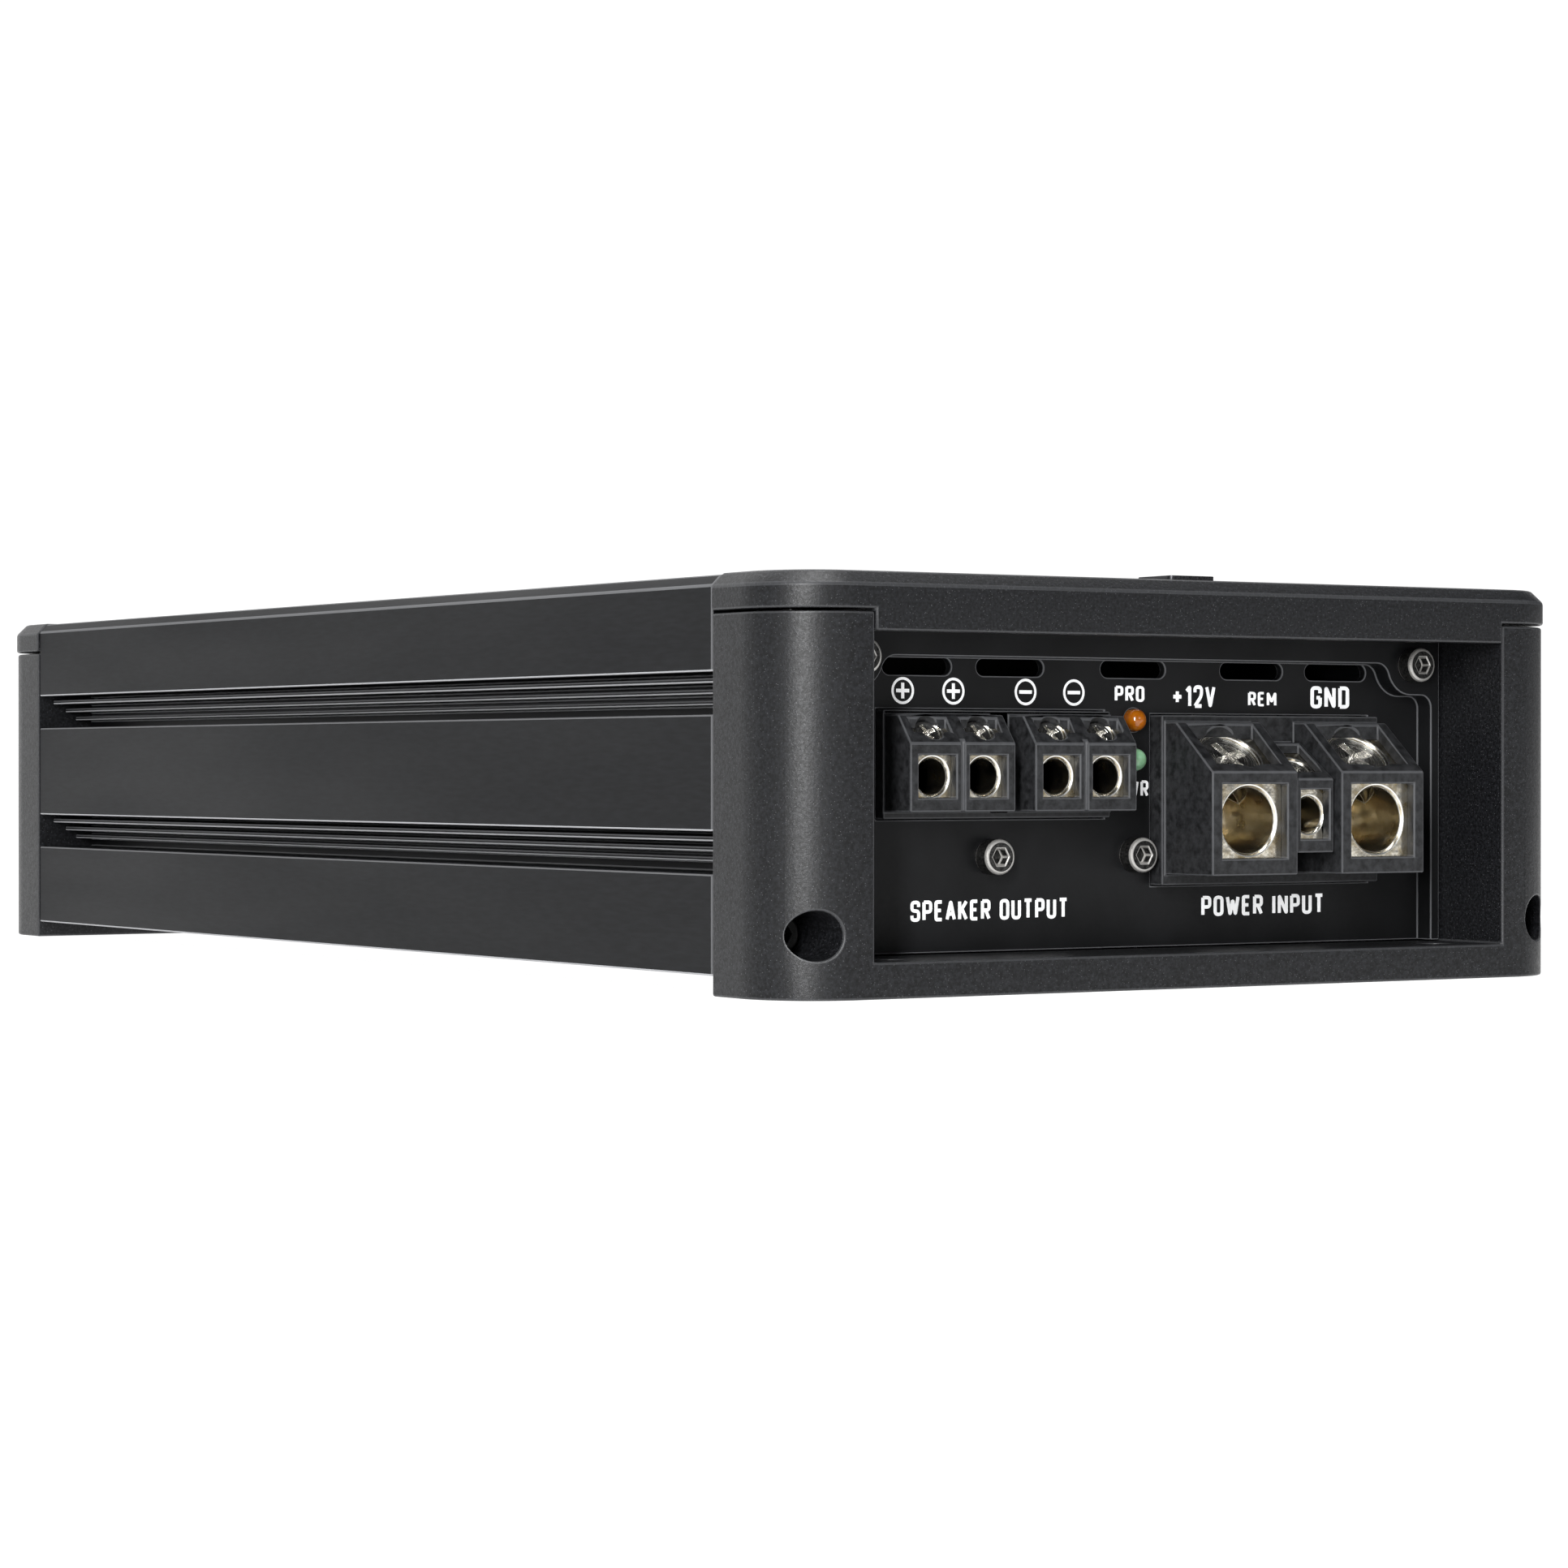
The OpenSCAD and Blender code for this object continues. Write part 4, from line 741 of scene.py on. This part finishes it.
def legend_bmesh(text, width, height, ink):
    """Condensed capitals drawn in strokes, fitted to a width and a height, centred."""
    curve = bpy.data.curves.new(text, "CURVE")
    curve.dimensions = "3D"
    curve.bevel_depth = STROKE / 2
    curve.bevel_resolution = 2
    curve.use_fill_caps = True
    left = 0.0
    for letter in text:
        if letter == " ":
            left += WORD_GAP
            continue
        span, *strokes = GLYPHS[letter]
        for radius, *points in strokes:
            corners = [Vector((left + x * span, y, 0.0)) for x, y in points]
            path = filleted(corners, max(radius * span, LEAST_FILLET))
            spline = curve.splines.new("POLY")
            spline.points.add(len(path) - 1)
            for point, place in zip(spline.points, path):
                point.co = (*place, 1.0)
        left += span + LETTER_GAP
    word = bpy.data.objects.new(text, curve)
    bpy.context.scene.collection.objects.link(word)
    bpy.context.view_layer.update()
    mesh = bpy.data.meshes.new_from_object(word)
    bpy.data.objects.remove(word)
    bpy.data.curves.remove(curve)
    bm = bmesh.new()
    bm.from_mesh(mesh)
    bpy.data.meshes.remove(mesh)
    xs = [v.co.x for v in bm.verts]
    ys = [v.co.y for v in bm.verts]
    corner = Vector(((min(xs) + max(xs)) / 2, (min(ys) + max(ys)) / 2, -STROKE / 2))
    bmesh.ops.translate(bm, verts=bm.verts, vec=-corner)
    fit = (width * MM / (max(xs) - min(xs)), height * MM / (max(ys) - min(ys)), ink / STROKE)
    bmesh.ops.scale(bm, verts=bm.verts, vec=fit)
    bmesh.ops.recalc_face_normals(bm, faces=bm.faces)
    return bm


def bar_into(bm, width, height, ink):
    """Adds a flat bar, centred on the drawing."""
    made = bmesh.ops.create_cube(bm, size=1.0)["verts"]
    bmesh.ops.scale(bm, verts=made, vec=(width, height, ink))
    bmesh.ops.translate(bm, verts=made, vec=(0.0, 0.0, ink / 2))


def polarity_bmesh(sign, sizes):
    """A ring round a plus or a minus."""
    bm = bmesh.new()
    outer, line, ink = sizes.ring_outer, sizes.ring_line, sizes.ink_height
    corners = [(outer - line, 0), (outer, 0), (outer, ink), (outer - line, ink)]
    profile = [bm.verts.new((x, 0.0, z)) for x, z in corners]
    edges = [bm.edges.new((profile[i], profile[(i + 1) % 4])) for i in range(4)]
    bmesh.ops.spin(
        bm,
        geom=profile + edges,
        cent=(0, 0, 0),
        axis=(0, 0, 1),
        angle=math.tau,
        steps=48,
        use_merge=True,
    )
    bmesh.ops.remove_doubles(bm, verts=bm.verts, dist=1e-7)
    reach = 2 * (outer - line) * 0.72
    bar_into(bm, reach, line * 1.35, ink)
    if sign == "+":
        bar_into(bm, line * 1.35, reach, ink * 0.95)
    bmesh.ops.recalc_face_normals(bm, faces=bm.faces)
    return bm


FRONT_LEGENDS = [
    # word, left, right, middle height, letter height
    ("PRO", -3.6, 2.2, 45.3, 2.5),
    ("PWR", -3.0, 3.0, 30.5, 2.5),
    ("+12V", 7.9, 16.3, 45.0, 3.6),
    ("REM", 22.9, 28.7, 44.7, 2.3),
    ("GND", 35.7, 43.8, 45.1, 3.6),
    ("SPEAKER OUTPUT", -42.1, -12.9, 12.0, 3.2),
    ("POWER INPUT", 13.5, 38.2, 11.8, 3.25),
]
POLARITY_Z = 45.4
POLARITY = [("+", -43.5), ("+", -34.2), ("-", -20.7), ("-", -11.5)]
REAR_LEGENDS = [
    ("LEVEL", -14.5, -7.5, 24.2, 1.9),
    ("LPF", 0.2, 4.8, 24.2, 1.9),
    ("SUBSONIC", 10.6, 21.4, 24.2, 1.9),
    ("BASS", 26.4, 32.6, 24.2, 1.9),
    ("INPUT", -48.0, -40.0, 44.5, 2.3),
    ("OUTPUT", -35.0, -25.0, 44.5, 2.3),
    ("L", -37.9, -36.5, 36.0, 2.1),
    ("R", -37.9, -36.5, 22.0, 2.1),
    ("PHASE", 42.8, 51.2, 44.0, 1.9),
    ("REMOTE", 42.0, 52.0, 11.0, 1.9),
    ("0", 51.6, 52.8, 32.6, 1.7),
    ("180", 51.4, 55.0, 38.4, 1.7),
]


# ---- operators ----


class AmplifierOperator:
    bl_options = {"REGISTER", "UNDO"}

    @property
    def sizes(self):
        return bpy.context.scene.amplifier_sizes


class AMPLIFIER_OT_stage(AmplifierOperator, bpy.types.Operator):
    """Sets up the floor, the backdrop, the lights and the camera"""

    bl_idname = "amplifier.stage"
    bl_label = "Stage"

    def execute(self, context):
        scene = context.scene
        stage = scene.amplifier_stage
        scene.view_settings.view_transform = "Standard"
        self.world(scene)
        self.surfaces(scene)
        self.lights(scene)
        camera = bpy.data.objects.new("camera", bpy.data.cameras.new("camera"))
        scene.collection.objects.link(camera)
        camera.data.lens = stage.focal_length
        camera.data.sensor_width = 36.0
        camera.data.clip_start = 0.01
        heading, dip = stage.camera_heading, stage.camera_dip
        view = Vector(
            (
                math.sin(heading) * math.cos(dip),
                math.cos(heading) * math.cos(dip),
                -math.sin(dip),
            )
        )
        camera.rotation_euler = view.to_track_quat("-Z", "Y").to_euler()
        camera.location = stage.camera_place
        scene.camera = camera
        return {"FINISHED"}

    def world(self, scene):
        """A faint, cool light from all round."""
        world = bpy.data.worlds.new("studio")
        world.use_nodes = True
        world.node_tree.nodes["Background"].inputs["Color"].default_value = (0.9, 0.95, 1, 1)
        world.node_tree.nodes["Background"].inputs["Strength"].default_value = 0.1
        scene.world = world

    def surfaces(self, scene):
        """A floor that curves up into a backdrop, both glowing a little like lit paper."""
        colour = scene.amplifier_colours.stage
        paper = Finish("stage paper", tint(colour, 0.22), 0.9, 0.0, Specular_IOR_Level=0.0)
        paper.relief(paper.noise(300.0, 2.0), 0.00002, 0.3)
        paper.shader.inputs["Emission Color"].default_value = (1, 1, 1, 1)
        paper.shader.inputs["Emission Strength"].default_value = 0.98
        bm = bmesh.new()
        ends = [bm.verts.new((x, -1.2, 0.0)) for x in (-5.0, 5.0)]
        edge = bm.edges.new(ends)
        swept = [edge]
        for step in [(0.0, 3.4, 0.0), (0.0, 0.5, 0.1), (0.0, 0.3, 0.4), (0.0, 0.05, 5.0)]:
            made = bmesh.ops.extrude_edge_only(bm, edges=swept)["geom"]
            points = [g for g in made if isinstance(g, bmesh.types.BMVert)]
            bmesh.ops.translate(bm, verts=points, vec=step)
            edges = [g for g in made if isinstance(g, bmesh.types.BMEdge)]
            swept = [g for g in edges if all(v in points for v in g.verts)]
        mesh = bpy.data.meshes.new("floor")
        bm.to_mesh(mesh)
        bm.free()
        floor = bpy.data.objects.new("floor", mesh)
        mesh.materials.append(paper.material)
        scene.collection.objects.link(floor)

    def lights(self, scene):
        """Soft boxes, each aimed at a point of the case."""
        lights = [
            # name, place, target, width, height, power
            ("overhead", (0.1, 0.3, 1.9), (0.0, 0.1, 0.0), 2.4, 2.4, 16.0),
            ("left softbox", (-1.0, -1.1, 0.45), (-0.07, -0.14, 0.03), 0.16, 1.1, 32.0),
            ("top softbox", (-0.1, -0.25, 1.2), (-0.1, -0.15, 0.06), 0.6, 0.6, 9.0),
            ("front card", (0.25, -1.9, 0.62), (0.0, -0.15, 0.03), 0.5, 0.5, 2.5),
        ]
        for name, place, target, width, height, power in lights:
            data = bpy.data.lights.new(name, "AREA")
            data.shape = "RECTANGLE"
            data.size, data.size_y = width, height
            data.energy = power
            lamp = bpy.data.objects.new(name, data)
            scene.collection.objects.link(lamp)
            lamp.location = place
            aim = Vector(target) - Vector(place)
            lamp.rotation_euler = aim.to_track_quat("-Z", "Y").to_euler()


class AMPLIFIER_OT_case(AmplifierOperator, bpy.types.Operator):
    """Makes the heatsink, the end frames, their caps and the plates"""

    bl_idname = "amplifier.case"
    bl_label = "Case"

    def execute(self, context):
        # the heatsink's upward-facing edge strips get less of the painted highlight
        rounded("heatsink", self.sizes.sink_round, upper=0.3)
        for end in ("front", "rear"):
            rounded(f"{end}_frame", self.sizes.case_round)
            rounded(f"{end}_cap", self.sizes.case_round, least_angle=25.0)
        rounded("cap_badge", self.sizes.panel_round / 2)
        rounded("bottom_plate", self.sizes.panel_round)
        return {"FINISHED"}


class AMPLIFIER_OT_panels(AmplifierOperator, bpy.types.Operator):
    """Makes the two recessed panels"""

    bl_idname = "amplifier.panels"
    bl_label = "Panels"

    def execute(self, context):
        for end in ("front", "rear"):
            rounded(f"{end}_panel", self.sizes.panel_round)
        return {"FINISHED"}


class AMPLIFIER_OT_legends(AmplifierOperator, bpy.types.Operator):
    """Prints the legends and polarity signs on the panels"""

    bl_idname = "amplifier.legends"
    bl_label = "Legends"

    def execute(self, context):
        ink = self.sizes.ink_height
        for end, legends in (("front", FRONT_LEGENDS), ("rear", REAR_LEGENDS)):
            for i, (word, left, right, z, height) in enumerate(legends):
                bm = legend_bmesh(word, right - left, height, ink)
                place_drawing(bm, end, (left + right) / 2, z)
                new_piece(f"{end}_legend_{i + 1}", bm, finish_of("ink"), "root")
        for i, (sign, x) in enumerate(POLARITY):
            bm = polarity_bmesh(sign, self.sizes)
            place_drawing(bm, "front", x, POLARITY_Z)
            new_piece(f"polarity_{i + 1}", bm, finish_of("ink"), "root")
        return {"FINISHED"}


class AMPLIFIER_OT_terminals(AmplifierOperator, bpy.types.Operator):
    """Makes the terminal blocks, barrels, clamp screws and pads"""

    bl_idname = "amplifier.terminals"
    bl_label = "Terminals"

    def execute(self, context):
        # the thin shelf round a barrel stays sharp, or its rounding would close the opening
        seats = [box_round(part_of(way, "barrel"), SEAT_MARGIN) for way in WAYS]
        for kind in ("power", "speaker"):
            rounded(f"{kind}_terminal_block", self.sizes.block_round, spared=seats)
        for way in WAYS:
            rounded(part_of(way, "barrel"), self.sizes.metal_round)
            screw, turned = part_of(way, "clamp_screw"), finish_of("turned")
            rounded(screw, self.sizes.metal_round / 2, finish=turned)
            dress(part_of(way, "pressure_pad"))
        return {"FINISHED"}


class AMPLIFIER_OT_screws(AmplifierOperator, bpy.types.Operator):
    """Makes the screws of the case"""

    bl_idname = "amplifier.screws"
    bl_label = "Screws"

    def execute(self, context):
        # the frame screws sit deep in their holes; their near-black finish is painted shade
        rounded("frame_screws", self.sizes.metal_round, finish=finish_of("painted_shade_black"))
        rounded("panel_screws", self.sizes.metal_round * 1.8)
        for node in ("cap_screws", "bottom_screws"):
            rounded(node, self.sizes.metal_round)
        return {"FINISHED"}


class AMPLIFIER_OT_lamps(AmplifierOperator, bpy.types.Operator):
    """Makes the two indicator lamps"""

    bl_idname = "amplifier.lamps"
    bl_label = "Lamps"

    def execute(self, context):
        for node in ("protect_lamp", "power_lamp"):
            rounded(node, self.sizes.metal_round)
        return {"FINISHED"}


class AMPLIFIER_OT_controls(AmplifierOperator, bpy.types.Operator):
    """Makes the phono sockets, trim knobs, switch and remote socket"""

    bl_idname = "amplifier.controls"
    bl_label = "Controls"

    def execute(self, context):
        for node in ["phono_block", "phono_shells", "phono_left_insulators",
                     "phono_right_insulators", "phase_slider", "level_remote_port"]:
            rounded(node, self.sizes.metal_round)
        for knob in KNOBS:
            rounded(f"{knob}_knob", self.sizes.metal_round)
        return {"FINISHED"}


class AMPLIFIER_OT_inside(AmplifierOperator, bpy.types.Operator):
    """Finishes the parts inside the case"""

    bl_idname = "amplifier.inside"
    bl_label = "Inside"

    def execute(self, context):
        for node, shown in frame["nodes"].items():
            if not shown.hide_render:
                dress(node)
        return {"FINISHED"}


class AMPLIFIER_PT_panel(bpy.types.Panel):
    bl_idname = "AMPLIFIER_PT_panel"
    bl_label = "Car amplifier"
    bl_space_type = "VIEW_3D"
    bl_region_type = "UI"
    bl_category = "Amplifier"

    def draw(self, context):
        for operator in OPERATORS:
            self.layout.operator(operator.bl_idname)
        for group in GROUPS:
            settings = getattr(context.scene, group)
            box = self.layout.box()
            for name in type(settings).__annotations__:
                box.prop(settings, name)


OPERATORS = [
    AMPLIFIER_OT_stage,
    AMPLIFIER_OT_case,
    AMPLIFIER_OT_panels,
    AMPLIFIER_OT_legends,
    AMPLIFIER_OT_terminals,
    AMPLIFIER_OT_screws,
    AMPLIFIER_OT_lamps,
    AMPLIFIER_OT_controls,
    AMPLIFIER_OT_inside,
]
GROUPS = {
    "amplifier_sizes": AmplifierSizes,
    "amplifier_colours": AmplifierColours,
    "amplifier_stage": AmplifierStage,
}


def register():
    for cls in [*GROUPS.values(), *OPERATORS, AMPLIFIER_PT_panel]:
        bpy.utils.register_class(cls)
    for name, group in GROUPS.items():
        setattr(bpy.types.Scene, name, PointerProperty(type=group))


def unregister():
    for name in GROUPS:
        delattr(bpy.types.Scene, name)
    for cls in reversed([*GROUPS.values(), *OPERATORS, AMPLIFIER_PT_panel]):
        bpy.utils.unregister_class(cls)


def main():
    register()
    bpy.ops.amplifier.stage()
    bpy.ops.amplifier.case()
    bpy.ops.amplifier.panels()
    bpy.ops.amplifier.legends()
    bpy.ops.amplifier.terminals()
    bpy.ops.amplifier.screws()
    bpy.ops.amplifier.lamps()
    bpy.ops.amplifier.controls()
    bpy.ops.amplifier.inside()


if __name__ == "__main__":
    main()
